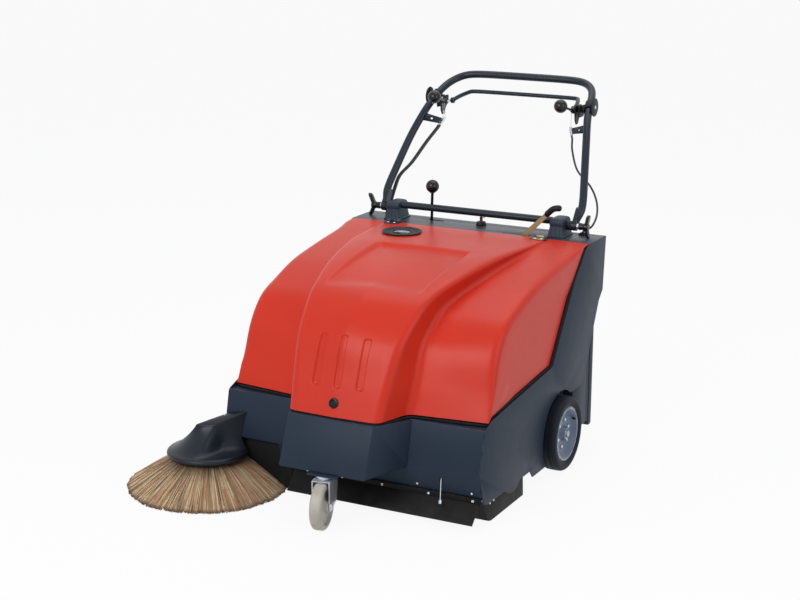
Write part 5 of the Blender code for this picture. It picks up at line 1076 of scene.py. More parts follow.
ARM_CORNERS = [Vector((-0.411, -0.0915, 0.17)), Vector((-0.36, -0.0772, 0.17)),
               Vector((-0.338, 0.0035, 0.195)), Vector((-0.289, 0.0012, 0.206))]
ARM_WAY = Vector((0.532, 0.8465)).normalized()
ARM_ACROSS = Vector((ARM_WAY.y, -ARM_WAY.x))
ARM_LENGTH, ARM_HALF = 0.094, 0.02
COVER_R = 0.105
COVER_DOME_Z = 0.101
COVER_COLUMNS = 96
COVER_LIP = [(0.003, 0), (0.0016, 0.0003), (0.0006, 0.001), (0, 0.0023)]
COVER_RIM = [(0.1005, 0.1003), (0.1022, 0.0994), (0.1039, 0.0976), (0.1049, 0.095), (0.105, 0.092),
             (0.1042, 0.0895), (0.1026, 0.088), (0.099, 0.088)]


def arm_top(share, side):
    """A place on the arm's flat top: share runs from its front to its root, side from -1 to 1 across it."""
    front = ARM_CORNERS[0].lerp(ARM_CORNERS[1], side / 2 + 0.5)
    root = ARM_CORNERS[2].lerp(ARM_CORNERS[3], side / 2 + 0.5)
    return front.lerp(root, share)


def cover_ring(level, inset, drop):
    """One ring of the cover: level 0 is the arm's flat top, 1 the edge of the disc."""
    ring = []
    for i in range(COVER_COLUMNS):
        angle = math.tau * i / COVER_COLUMNS
        u, v = math.cos(angle), math.sin(angle)
        grow = max(abs(u), abs(v)) ** 0.8
        top = arm_top(u / grow * (0.5 - inset / ARM_LENGTH) + 0.5, v / grow * (1 - inset / ARM_HALF))
        outer = BRUSH_AT.to_2d() + (ARM_WAY * u + ARM_ACROSS * v) * (COVER_R - 0.0062)
        ahead = ease(0.5 + (-u - max(0, v) * 0.75) * 1.4)
        flare, fall = 2.8 - 1.65 * ahead, 2.2 - 0.92 * ahead
        place = top.to_2d().lerp(outer, level ** flare)
        height = top.z - drop + (COVER_DOME_Z - top.z + drop) * (1 - (1 - level) ** fall)
        ring.append(Vector((place.x, place.y, height)))
    return ring


def rim_ring(radius, height):
    """One ring of the cover's round rim."""
    ring = []
    for i in range(COVER_COLUMNS):
        angle = math.tau * i / COVER_COLUMNS
        place = BRUSH_AT.to_2d() + (ARM_WAY * math.cos(angle) + ARM_ACROSS * math.sin(angle)) * radius
        ring.append(Vector((*place, height)))
    return ring


def lofted(rings, smooth_angle):
    """A closed body through rings with the same number of points."""
    work = bmesh.new()
    rows = [[work.verts.new(p) for p in ring] for ring in rings]
    skinned(work, rows)
    return mesh_from(work, "lofted", smooth_angle)


def up_from(place, height):
    """A place that much higher."""
    return Vector(place) + Vector((0, 0, height))


def brush_cover():
    """The cover's shell, hollow underneath, with the sleeve that slides on its guide rod."""
    rings = [cover_ring(0, inset, drop) for inset, drop in COVER_LIP]
    rings += [cover_ring((step / 26) ** 1.15, 0, 0.0023) for step in range(1, 27)]
    rings += [rim_ring(radius, height) for radius, height in COVER_RIM]
    shell = lofted(rings, 60)
    behind = [(-0.0265, 0.102), (-0.0265, 0.134), (-0.0006, 0.252), (0.2, 0.248), (0.2, 0.102)]
    guide = Vector((-0.336, 0.034, 0))
    shell = boolean(shell, [
        plate(behind, "X", -0.52, -0.2, 0),
        bar(up_from(guide, 0.05), up_from(guide, 0.2), 0.0085, 32),
        bar(up_from(BRUSH_AT, 0.05), up_from(BRUSH_AT, 0.0972), 0.0982, 96),
        bar(up_from(BRUSH_AT, 0.05), up_from(BRUSH_AT, 0.1515), 0.0172, 40)])
    shell.set_sharp_from_angle(angle=math.radians(50))
    sleeve = collar(0.0077, 0.013, 0.02, 0.0006, 0.0006, up_from(guide, 0.14), (0, 0, 1), 48)
    lug = block((-0.35, -0.0262, 0.1205), (-0.322, 0.0235, 0.1595), 0.0012)
    return joined("cover", [shell, lug, sleeve], 50)


piece("side_brush_shroud", brush_cover(), COVER_NAVY, "brush_mount", ["side_brush_cover"])
up = (arm_top(0.72, 0.5) - arm_top(0.72, -0.9)).cross(arm_top(0.85, -0.62) - arm_top(0.6, -0.62)).normalized()
piece("cover_screw", screw_head(arm_top(0.62, -0.62) - up * 0.0004, up, 0.0034, 0.0015), ZINC, "brush_mount")
motor_can = lathe([(0, 0.0955), (0.016, 0.0955), (0.0165, 0.0962), (0.0165, 0.149), (0.0158, 0.15),
                   (0, 0.15)],
                  BRUSH_AT, (0, 0, 1), 48)
spindle = bar(up_from(BRUSH_AT, 0.07), up_from(BRUSH_AT, 0.096), 0.006, 32)
piece("brush_motor_can", joined("motor", [motor_can, spindle]), STEEL, "brush_mount", ["side_brush_motor"])


# Sheet metal and hard parts: the imported solids with their edges rounded and painted paler, partly as rubbed
# paint and partly as painted highlight

HOLDER = {node: body for body, nodes in frame["record"]["behaviour"]["bodies"].items() for node in nodes}


def dress(node, material, width=0.0005, mesh=None, name=None):
    """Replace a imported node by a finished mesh: its own with rounded edges, or a given one."""
    title = name or node + "_finished"
    if mesh is None:
        return seated(title, refined(node, width), material, HOLDER[node], [node])
    return piece(title, mesh, material, HOLDER[node], [node])


# The caster plate takes the dark slate in place of its zinc: painted shade, for the shadow it sits in above
# the fork.
EDGES = [("nose_box", SLATE, 0.0011), ("front_panel", SLATE, 0.0009), ("side_panel_left", SLATE, 0.0009),
         ("skirt_left", RUBBER, 0.0005), ("side_panel_right", SLATE, 0.0009), ("skirt_right", RUBBER, 0.0005),
         ("top_plate", PLATE_BLUE, 0.0007), ("broom_housing", SLATE, 0.0008), ("hood_seal", RUBBER, 0.0004),
         ("flap_bar", RUBBER, 0.0006), ("front_flap", RUBBER, 0.0005), ("debris_hopper", SLATE, 0.0008),
         ("broom_arm", SLATE, 0.0006), ("caster_fork", ZINC, 0.0006), ("caster_plate", SLATE, 0.0005),
         ("brush_guide", STEEL, 0.0005), ("axle", STEEL, 0.0006), ("battery", BATTERY_GREY, 0.0009),
         ("suction_fan", PLAIN_BLACK, 0.0006), ("drive_motor", STEEL, 0.0006), ("motor_pulley", ZINC, 0.0004),
         ("drive_belt", RUBBER, 0.0003), ("broom_core", PLAIN_BLACK, 0.0005)]
for node, material, width in EDGES:
    dress(node, material, width)
for wire_slot in frame["nodes"]["flap_wire"].material_slots:
    wire_slot.material = ZINC


FRAME_RIM = 0.004


def pleated_panel(low, high, pleats, depth):
    """A filter's block with its top and bottom folded into pleats."""
    inset = FRAME_RIM / 2
    top, bottom = [], []
    for step in range(pleats * 2 + 1):
        x = low.x + inset + (high.x - low.x - FRAME_RIM) * step / (pleats * 2)
        dip = depth if step % 2 else 0.0006
        top.append((x, high.z - dip))
        bottom.append((x, low.z + depth - dip + 0.0006))
    return plate(bottom + list(reversed(top)), "Y", low.y + inset, high.y - inset, 0)


low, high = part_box("filter_panel")
low, high = low - SHIFT, high - SHIFT
dress("filter_panel", PAPER, mesh=pleated_panel(low, high, 60, 0.01), name="filter_pleats")
rim_parts = []
for side in (-1, 1):
    x, y = (low.x, low.y) if side < 0 else (high.x, high.y)
    ends, sides = sorted((x, x - side * FRAME_RIM)), sorted((y, y - side * FRAME_RIM))
    rim_parts.append(block((ends[0], low.y, low.z), (ends[1], high.y, high.z), 0.0008))
    rim_parts.append(block((low.x + FRAME_RIM, sides[0], low.z), (high.x - FRAME_RIM, sides[1], high.z),
                           0.0008))
piece("filter_frame", joined("filter_frame", rim_parts), PLAIN_BLACK, "frame")

# Rubber strip, guard and skirt end under the front edge; the black strip and guard also stand in as painted
# shade for the dark zone there

STRIP_FRONT = -0.008
# The strip's black is partly painted shade for the dark zone under the front panel's edge.
strip = plate([(-0.297, 0.125), (-0.297, 0.104), (-0.25, 0.078), (-0.205, 0.052), (-0.1645, 0.036),
               (-0.1645, 0.125)], "Y", STRIP_FRONT, -0.0052, 0.0004)
piece("front_edge_strip", strip, RUBBER, "frame")
# The guard's black is partly painted shade for the dark zone under the front edge, behind the side brush.
guard = plate([(-0.345, 0.1262), (-0.345, 0.0985), (-0.31, 0.0845), (-0.28, 0.0665), (-0.25, 0.0505),
               (-0.205, 0.023), (-0.186, 0.011), (-0.17, 0.0085), (-0.17, 0.1262)],
              "Y", STRIP_FRONT - 0.0031, STRIP_FRONT - 0.0006, 0.0004)
piece("brush_dust_guard", guard, RUBBER, "brush_mount")
turn_in = [(-0.003, 0.063), (0.035, 0.007), (0.0377, 0.0085), (-0.0003, 0.0645)]
corner = block((0.3531, -0.0125, 0.06), (0.3594, -0.006, 0.08), 0.0006)
piece("skirt_turn_in", joined("turn_in", [plate(turn_in, "X", 0.3, 0.357, 0.0004), corner]), RUBBER, "frame")


# Push handle with its hand levers, bail, cables and clamps

def mirrored(points, side):
    return [Vector((p[0] * side, p[1], p[2])) for p in points]


def both_ways(knots):
    """Knots of the left half, followed by their mirror images back to the right end."""
    return knots + mirrored(reversed(knots), -1)


def on_side(side, near, far):
    """Two places across the machine on one side of it, the lower one first."""
    return sorted((side * near, side * far))


HANDLE_KNOTS = [(0.3035, 0.748, 0.64), (0.293, 0.779, 0.69), (0.271, 0.842, 0.793), (0.2616, 0.869, 0.827),
                (0.25, 0.9, 0.867), (0.244, 0.922, 0.886), (0.235, 0.966, 0.9155), (0.225, 1.002, 0.9335),
                (0.2055, 1.0312, 0.9488), (0.175, 1.039, 0.9567), (0.153, 1.0428, 0.9583)]
TUBE_R = 0.0108
FOLD_AT = Vector((0, 0.7235, 0.606))
ANCHOR_TOP = Vector((0.256, 0.885, 0.847))
ANCHOR_END = Vector((0.201, 0.906, 0.833))
CABLE_WAY = Vector((0.353, -0.515, -0.78)).normalized()
CABLE_R = 0.0028
CABLE_APART = 0.003         # half the distance between two cables side by side


def capsule(a, b, radius_a, radius_b, steps):
    """Outline of a plate with round ends at a and b."""
    a, b = Vector(a), Vector(b)
    turn = math.atan2((b - a).y, (b - a).x)
    made = []
    for centre, radius, start in ((a, radius_a, turn + math.pi / 2), (b, radius_b, turn - math.pi / 2)):
        for step in range(steps + 1):
            angle = start + math.pi * step / steps
            made.append((centre.x + radius * math.cos(angle), centre.y + radius * math.sin(angle)))
    return made


def anchor_tab(side):
    """The flat tab that carries the cables' adjusters, broad at the tube and narrower at its end."""
    start, end = mirrored([ANCHOR_TOP, ANCHOR_END], side)
    way = (end - start).normalized()
    thick = way.cross(mirrored([CABLE_WAY], side)[0]).normalized()
    wide = thick.cross(way).normalized()
    outline = [(-0.002, 0.0125), (0.018, 0.0108), ((end - start).length - 0.004, 0.0085, 0.003),
               ((end - start).length + 0.004, 0.0045, 0.004)]
    outline = rounded([*outline, *[(p[0], -p[1], *p[2:]) for p in reversed(outline)]], 4)
    hole = bar((0.03, 0, -0.01), (0.03, 0, 0.01), 0.0032, 24)
    tab = boolean(plate(outline, "Z", -0.0016, 0.0016), [hole])
    tab.transform(Matrix.Translation(start) @ Matrix((way, wide, thick)).transposed().to_4x4())
    return tab


def handle_foot(side):
    """The flat eye at the tube's lower end, bored for its stud."""
    outline = capsule(FOLD_AT.yz, (0.7485, 0.641), 0.013, 0.0118, 20)
    eye = plate(outline, "X", *on_side(side, 0.2862, 0.298), 0.0012, 3)
    bore = bar((side * 0.28, *FOLD_AT.yz), (side * 0.31, *FOLD_AT.yz), 0.0043, 32)
    return boolean(eye, [bore])


def eased_line(knots, spacing, passes):
    """An even, smoothed line of points through knots, with no kink where their spacing changes."""
    fine = curve_through(knots, 12)
    made, walked = [fine[0]], 0.0
    for before, after in zip(fine, fine[1:]):
        walked += (after - before).length
        if walked >= spacing:
            made.append(after)
            walked = 0.0
    made[-1] = fine[-1]
    for _ in range(passes):
        made[1:-1] = [b * 0.5 + (a + c) * 0.25 for a, b, c in zip(made, made[1:], made[2:])]
    return made


FOOT_KNOTS = [(0.2935, 0.731, 0.616), (0.299, 0.739, 0.6265)]
line = eased_line(both_ways(FOOT_KNOTS + HANDLE_KNOTS), 0.006, 26)
thin = [min(1.0, 0.62 + 0.38 * min(i, len(line) - 1 - i) / 5) for i in range(len(line))]
tube = pipe(line, TUBE_R, 28, swell=thin)
ends = [make(side) for side in (1, -1) for make in (handle_foot, anchor_tab)]
dress("handle_tube", TUBE_COAT, mesh=joined("handle", [tube, *ends]))

PIVOT_Z = 0.889             # height of the hand levers' and the bail's pivots
LEVER_Y, BAIL_Y = 0.925, 0.95
BAIL_KNOTS = [(0.188, 0.955, 0.89), (0.186, 0.98, 0.895), (0.178, 1.012, 0.902), (0.165, 1.034, 0.906),
              (0.15, 1.04, 0.907)]
bail_eyes = [collar(0.0033, 0.0085, 0.0045, 0.0006, 0.0006, (side * 0.188, BAIL_Y, PIVOT_Z), (1, 0, 0), 40)
             for side in (1, -1)]
bail = pipe(eased_line(both_ways(BAIL_KNOTS), 0.004, 22), 0.006, 24)
dress("bail", TUBE_COAT, mesh=joined("bail", [bail, *bail_eyes]))

BRACKET_OUTLINE = [(0.912, 0.9035, 0.003), (0.961, 0.9035, 0.004), (0.961, 0.886, 0.004),
                   (0.943, 0.869, 0.006), (0.934, 0.852, 0.003), (0.923, 0.85, 0.003), (0.915, 0.862, 0.005),
                   (0.912, 0.878, 0.004)]


def lever_bracket(side):
    """Two thin plates held to the tube by a sleeve, with a round guard on the outside."""
    outline = rounded(BRACKET_OUTLINE, 4)
    lower = [(y, max(z, 0.872)) for y, z in outline]
    way = Vector((-0.009 * side, 0.044, 0.0295)).normalized()
    middle = Vector((side * 0.2395, 0.944, 0.9008))
    sleeve = collar(0.0111, 0.0142, 0.015, 0.0008, 0.001, middle, way, 44)
    near, far = on_side(side, 0.21, 0.231)
    web = block((near, 0.926, 0.884), (far, 0.956, 0.901), 0.0018, 3)
    guard = lathe([(0, 0), (0.0235, 0), (0.0252, 0.0006), (0.026, 0.0018), (0.0254, 0.0032), (0.0235, 0.004),
                   (0, 0.004)],
                  (side * 0.2545, 0.938, 0.9), (side, 0, 0), 72)
    post = bar((side * 0.244, 0.938, 0.9), (side * 0.255, 0.938, 0.9), 0.007, 32)
    cheeks = [plate(outline, "X", *on_side(side, 0.2065, 0.21)),
              plate(lower, "X", *on_side(side, 0.218, 0.2215))]
    return joined("bracket", [*cheeks, sleeve, web, guard, post])


def lever_hub(centre, axis):
    """The bored hub that a hand lever or ball lever turns on."""
    return collar(0.0033, 0.009, 0.0045, 0.0006, 0.0007, centre, axis, 40)


KNOB_R = 0.0188
for side_name, side in SIDES.items():
    out = Vector((side, 0, 0))
    dress("lever_bracket_" + side_name, PLAIN_BLACK, mesh=lever_bracket(side))
    hub = lever_hub((side * 0.198, LEVER_Y, PIVOT_Z), (1, 0, 0))
    root, tip = Vector((side * 0.1975, 0.921, 0.89)), Vector((side * 0.194, 0.84, 0.911))
    rod = pipe([root, root.lerp(tip, 0.3), root.lerp(tip, 0.7), tip + (root - tip).normalized() * 0.014],
               0.0035, 20)
    dress("hand_lever_" + side_name, GLOSS_BLACK, mesh=joined("lever", [knob(tip, KNOB_R, root), rod, hub]))
    screws = [screw_head(Vector((side * 0.2065, y, z)), -out, 0.0036, 0.0016)
              for y, z in ((0.917, 0.8985), (0.929, 0.857))]
    screws += [nut(Vector((side * 0.1925, y, PIVOT_Z)), -out, 0.0078, 0.003) for y in (LEVER_Y, BAIL_Y)]
    screws.append(screw_head(Vector((side * 0.2585, 0.938, 0.9)), out, 0.005, 0.002))
    screws += [bar((side * 0.1865, y, PIVOT_Z), (side * 0.2065, y, PIVOT_Z), 0.003, 24)
               for y in (LEVER_Y, BAIL_Y)]
    piece("bracket_screws_" + side_name, joined("screws", screws), ZINC, "handle")


RIGHT_CABLE = [(-0.229, 0.86, 0.775), (-0.257, 0.826, 0.72), (-0.28, 0.795, 0.685), (-0.289, 0.781, 0.65),
               (-0.295, 0.769, 0.615), (-0.297, 0.76, 0.595), (-0.297, 0.76, 0.55)]
LEFT_CABLE = [(0.218, 0.876, 0.784), (0.245, 0.85, 0.735), (0.298, 0.816, 0.7), (0.325, 0.795, 0.665),
              (0.333, 0.78, 0.63), (0.325, 0.765, 0.6), (0.302, 0.757, 0.583), (0.302, 0.757, 0.55)]
CABLES = [("cable_left", "left_cable", 1, LEFT_CABLE, 0.0),
          ("cables_right", "right_cable_outer", -1, RIGHT_CABLE, -CABLE_APART),
          ("cables_right", "right_cable_inner", -1, RIGHT_CABLE, CABLE_APART)]
for node, name, side, knots, shift in CABLES:
    way, seat = mirrored([CABLE_WAY, ANCHOR_END], side)
    seat += Vector((shift, 0, 0))
    first = seat + way * 0.0143
    bends = [Vector(k) + Vector((shift, 0, 0)) for k in knots]
    route = curve_through([first, first + way * 0.012, *bends], 6)
    cable = piece(name, pipe(route, CABLE_R, 16), CABLE_BLACK, "handle", [node])
    reach = sum((b - a).length for a, b in zip(route, route[1:]))
    tuple(route[0] + SHIFT)
    [tuple(p + SHIFT) for p in route]
    slim = 0.0028 if shift else 0.0045
    wire = [seat - way * 0.012, Vector((side * 0.1985 + shift, 0.912, 0.8855))]
    adjuster = [bar(seat - way * 0.013, seat + way * 0.0145, slim * 0.86, 24),
                nut(seat + way * 0.002, way, slim * 2, 0.004),
                nut(seat - way * 0.0062, way, slim * 2, 0.0036),
                pipe([wire[0], wire[0].lerp(wire[1], 0.5), wire[1]], 0.0007, 8)]
    piece(name + "_adjuster", joined("adjuster", adjuster), ZINC, "handle")

TOP_PLATE_Z = 0.5762
GROMMETS = [("left", (0.302, 0.757), 0.006, 0.0075), ("right", (-0.297, 0.76), 0.018, 0.0088)]
for name, middle, top, neck in GROMMETS:
    profile = [(neck, 0.0), (0.011, 0.0), (0.0114, 0.001), (0.0112, 0.0026), (neck + 0.0014, 0.0042),
               (neck, top - 0.0006), (neck - 0.0008, top), (0.003, top), (0.003, 0.0)]
    grommet = lathe(profile, (*middle, TOP_PLATE_Z), (0, 0, 1), 48, ring=True)
    piece("grommet_" + name, grommet, RUBBER, "frame")


def rounded_ring(middle, half_x, half_y, z, corner, steps=6):
    """A level ring with rounded corners."""
    ring = []
    for turn, (sx, sy) in enumerate(((1, 1), (-1, 1), (-1, -1), (1, -1))):
        for step in range(steps + 1):
            angle = math.pi / 2 * (turn + step / steps)
            ring.append(Vector((middle.x + sx * (half_x - corner) + corner * math.cos(angle),
                                middle.y + sy * (half_y - corner) + corner * math.sin(angle), z)))
    return ring


# Handle blocks, clamps, studs and wing levers at the handle's foot

WING_LEAN = {"left": 0.26, "right": 0.55}   # how far a wing's blade leans out along its length
BLOCK_STEPS = [(0.025, 0.037, 0.5763, 0.004), (0.025, 0.037, 0.579, 0.004), (0.024, 0.036, 0.58, 0.004),
               (0.0232, 0.0352, 0.5806, 0.005), (0.0226, 0.0346, 0.5825, 0.005),
               (0.0184, 0.0304, 0.608, 0.005)]
BLOCK_CAP_STEPS = [(0.017, 0.029, 0.607, 0.0045), (0.0196, 0.0316, 0.6072, 0.0055),
                   (0.02, 0.032, 0.6078, 0.0055), (0.0199, 0.0319, 0.617, 0.006),
                   (0.0194, 0.0312, 0.6205, 0.0065), (0.0182, 0.0298, 0.6238, 0.007),
                   (0.016, 0.0272, 0.6262, 0.0075), (0.0128, 0.0235, 0.6274, 0.0075),
                   (0.008, 0.018, 0.628, 0.006)]
for side_name, side in SIDES.items():
    out = Vector((side, 0, 0))
    middle = Vector((side * 0.25, 0.72, 0))
    body = lofted([rounded_ring(middle, *size) for size in BLOCK_STEPS], 30)
    cap = lofted([rounded_ring(middle, *size) for size in BLOCK_CAP_STEPS], 50)
    ribs = [lofted([rounded_ring(middle + Vector((place * wide, 0, 0)), 0.001, depth, z, 0.0005, 2)
                    for wide, depth, z in ((1.2, 0.0358, 0.5806), (1.0, 0.031, 0.608))], 30)
            for place in (-0.011, 0, 0.011)]
    dress("handle_block_" + side_name, BLOCK_PLASTIC, mesh=joined("block", [body, cap, *ribs], 45))
    feet = [screw_head(Vector((middle.x + dx, middle.y + dy, 0.58)), (0, 0, 1), 0.0022, 0.001)
            for dx in (-0.0222, 0.0222) for dy in (-0.026, 0.026)]
    piece("block_screws_" + side_name, joined("feet", feet), ZINC, "frame")

    fold_at = [(side * x, *FOLD_AT.yz) for x in (0.2703, 0.2705, 0.279, 0.299, 0.3055, 0.326)]
    teeth = []
    for step in range(36):
        turn, swell = math.tau * step / 36, 0.013 if step % 2 else 0.0119
        teeth.append((FOLD_AT.y + swell * math.cos(turn), FOLD_AT.z + swell * math.sin(turn)))
    clamp = [plate(teeth, "X", *on_side(side, 0.2788, 0.2858), 0.0005),
             bar(fold_at[1], fold_at[2], 0.0125, 48)]
    piece("clamp_" + side_name, joined("clamp", clamp), PLAIN_BLACK, "frame")
    stud = [bar(fold_at[0], fold_at[5], 0.004, 32), nut(Vector(fold_at[3]), out, 0.015, 0.006)]
    dress("pivot_stud_" + side_name, ZINC, mesh=joined("stud", stud))
    blade = [(0.73, 0.639, 0.005), (0.717, 0.639, 0.005), (0.716, 0.606, 0.008), (0.718, 0.576, 0.004),
             (0.729, 0.576, 0.004), (0.731, 0.606, 0.008)]
    wing = [plate(rounded(blade, 5), "X", *on_side(side, 0.3205, 0.329), 0.0024, 3),
            lathe([(0.0043, 0), (0.0094, 0), (0.01, 0.0008), (0.009, 0.01), (0.01, 0.015), (0.01, 0.024),
                   (0.009, 0.0262), (0, 0.0262), (0, 0.024), (0.0043, 0.024)], fold_at[4], out, 44)]
    for vert in wing[0].vertices:
        vert.co.x += side * WING_LEAN[side_name] * max(0, abs(vert.co.z - FOLD_AT.z) - 0.006)
    dress("wing_lever_" + side_name, GLOSS_BLACK, mesh=joined("wing", wing))

dress("cross_tube", TUBE_COAT, mesh=bar((-0.2297, 0.713, 0.617), (0.2297, 0.713, 0.617), 0.01, 48, 0.0004))

# Two levers that stand out of the top plate, and the isolator

pivot = Vector((-0.152, 0.74, 0.54))
ball_rod = pipe(curve_through([(-0.152, 0.74, 0.542), (-0.149, 0.74, 0.588), (-0.145, 0.732, 0.625),
                               (-0.138, 0.72, 0.664)], 6),
                0.004, 20)
ball_hub = lever_hub(pivot, (0, 1, 0))
ball = knob((-0.138, 0.72, 0.677), KNOB_R, (-0.147, 0.735, 0.62))
dress("brush_lift_lever", GLOSS_BLACK, mesh=joined("ball_lever", [ball_rod, ball_hub, ball]))

lever = plate(capsule((0.15, 0.562), (0.231, 0.643), 0.008, 0.006, 18), "Y", 0.678, 0.682, 0.0005)
lever = boolean(lever, [bar((0.15, 0.66, 0.562), (0.15, 0.7, 0.562), 0.0033, 28)])
dress("broom_lift_lever", GOLD_ZINC, mesh=lever)
GRIP_LINE = [(0.224, 0.68, 0.636), (0.234, 0.68, 0.6465), (0.244, 0.68, 0.655), (0.256, 0.68, 0.659),
             (0.268, 0.68, 0.6595)]
grip_line = curve_through(GRIP_LINE, 6)
swell = [1.0 - 0.35 * max(0, 1 - min(i, len(grip_line) - 1 - i) / 3) ** 2 for i in range(len(grip_line))]
dress("lever_grip", PLAIN_BLACK, mesh=pipe(grip_line, 0.0085, 28, swell=swell))

key_at = Vector((0.005, 0.74, 0.5763))
base = lathe([(0.0056, 0), (0.0145, 0), (0.0145, 0.0035), (0.0136, 0.0046), (0.0132, 0.0085),
              (0.0122, 0.0102), (0.009, 0.0107), (0.0056, 0.0107)], key_at, (0, 0, 1), 64, ring=True)
dress("isolator_base", PLAIN_BLACK, mesh=base)
stem = lathe([(0, 0.004), (0.0052, 0.004), (0.0052, 0.0115), (0.0046, 0.0135), (0.0032, 0.015),
              (0.0032, 0.024), (0, 0.024)],
             key_at, (0, 0, 1), 40)
HOOK_BENDS = [(0, 0, 0.0225), (0.001, 0, 0.0275), (0.005, 0, 0.0298), (0.0086, 0, 0.0265), (0.008, 0, 0.0215)]
hook = pipe(curve_through([key_at + Vector(p) for p in HOOK_BENDS], 6), 0.002, 16)
bow = block(key_at + Vector((-0.0044, -0.0018, 0.015)), key_at + Vector((0.0044, 0.0018, 0.0235)), 0.0012, 3)
dress("isolator_key", KEY_RED, mesh=joined("key", [stem, hook, bow]))


# Gauge, lock and hinge leaves of the hood

bezel = lathe([(0.047, -0.019), (0.047, 0.0004), (0.05, 0.001), (0.054, 0.0004), (0.055, 0.001),
               (0.0549, 0.0022), (0.0535, 0.0033), (0.0505, 0.0036), (0.047, 0.003), (0.044, 0.0008),
               (0.042, 0.0), (0.0275, -0.0004), (0.0262, 0.0004), (0.0248, 0.0004), (0.0243, -0.0004),
               (0.0243, -0.019)], GAUGE, (0, 0, 1),
              ROUND_STEPS, ring=True)
dress("gauge_bezel", PLAIN_BLACK, mesh=bezel)
# The dial takes the glowing dial finish: painted light under the glass.
dial = lathe([(0, -0.0038), (0.024, -0.0038), (0.024, -0.017), (0, -0.017)], GAUGE, (0, 0, 1), 96)
piece("gauge_dial", dial, DIAL_FACE, "hood")
marks = []
for step in range(11):
    turn = math.radians(215 - 25 * step)
    way = Vector((math.cos(turn), math.sin(turn), 0))
    size = (0.004, 0.0009) if step % 5 == 0 else (0.0024, 0.0005)
    mark = block((-size[0] / 2, -size[1] / 2, 0), (size[0] / 2, size[1] / 2, 0.0004), 0)
    spot = Matrix.Translation(GAUGE + way * 0.0195 + Vector((0, 0, -0.0039)))
    mark.transform(spot @ Matrix.Rotation(turn, 4, "Z"))
    marks.append(mark)
NEEDLE_TURN = math.radians(62)
needle = plate([(-0.0045, -0.0011), (0.017, -0.0003), (0.017, 0.0003), (-0.0045, 0.0011)], "Z", 0, 0.0005, 0)
needle.transform(Matrix.Translation(GAUGE + Vector((0, 0, -0.0032))) @ Matrix.Rotation(NEEDLE_TURN, 4, "Z"))
pin = lathe([(0, -0.0038), (0.003, -0.0038), (0.003, -0.0026), (0.002, -0.0022), (0, -0.002)], GAUGE,
            (0, 0, 1), 32)
piece("gauge_marks", joined("marks", [*marks, needle, pin], 30), DIAL_MARK, "hood")
glass = lathe([(0, 0.001), (0.012, 0.0007), (0.0236, -0.0002), (0.024, -0.0012), (0, -0.0012)], GAUGE,
              (0, 0, 1), 96)
dress("gauge_lens", GLASS, mesh=glass)

face = LOCK_AT + NOSE_OUT * 0.0008
barrel = lathe([(0, -0.025), (LOCK_R - 0.0034, -0.025), (LOCK_R - 0.0034, -0.0002), (LOCK_R, -0.0002),
                (LOCK_R, 0.0016), (LOCK_R - 0.0012, 0.0032), (0.0102, 0.0044), (0.009, 0.0044),
                (0.0082, 0.0034), (0.0078, 0.0012), (0, 0.0012)],
               face, NOSE_OUT, 72)
cam_at = LOCK_AT - NOSE_OUT * 0.022
cam = block((-0.007, cam_at.y - 0.0016, cam_at.z - 0.03), (0.007, cam_at.y + 0.0016, cam_at.z + 0.004), 0.001)
dress("hood_lock", GLOSS_BLACK, mesh=joined("lock", [barrel, cam]))
plug = lathe([(0, 0.0005), (0.0076, 0.0005), (0.0076, 0.002), (0.0068, 0.0027), (0, 0.0027)], face, NOSE_OUT,
             56)
slot = block((-0.0008, -0.0052, -0.001), (0.0008, 0.0052, 0.01), 0)
slot.transform(Matrix.Translation(face) @ turned_to(NOSE_OUT))
piece("lock_plug", boolean(plug, [slot]), PLAIN_BLACK, "lock")
# A dark disc at the bottom of the key slot: painted shade inside the slot.
slot_floor = lathe([(0, 0.0007), (0.006, 0.0007), (0.006, 0.001), (0, 0.001)], face, NOSE_OUT, 24)
piece("lock_slot_floor", slot_floor, PAINTED_SHADE, "lock")

POCKET_STEPS = [(0.024, 0.0105, 0.579, 0.0104), (0.024, 0.0105, 0.5805, 0.0104),
                (0.0228, 0.0093, 0.5809, 0.0092)]
for side_name, side in SIDES.items():
    at = side * HINGE_X
    leaf = block((at - 0.0155, 0.6225, 0.5803), (at + 0.0155, 0.644, 0.5818), 0.0005)
    barrel = collar(0.0024, 0.004, 0.011, 0.0004, 0.0006, (at, HINGE_Y, HINGE_Z), (1, 0, 0), 36)
    neck = block((at - 0.011, 0.64, 0.5803), (at + 0.011, 0.649, 0.5818), 0.0004)
    dress("hinge_leaf_" + side_name, GOLD_ZINC if side > 0 else TUBE_COAT,
          mesh=joined("leaf", [leaf, neck, barrel]))
    # A thin dark slab round each hinge leaf: painted shade of the pocket the leaf sits in.
    pocket = lofted([rounded_ring(Vector((at, 0.6335, 0)), *size) for size in POCKET_STEPS], 40)
    piece("hinge_pocket_" + side_name, pocket, PAINTED_SHADE, "hood")
    screws = [screw_head(Vector((at + dx, 0.6325, 0.5817)), (0, 0, 1), 0.0034, 0.0017)
              for dx in (-0.0095, 0.0095)]
    piece("hinge_screws_" + side_name, joined("screws", screws), ZINC, "hood")


# Rows of small screws along the folds, placed by a graph

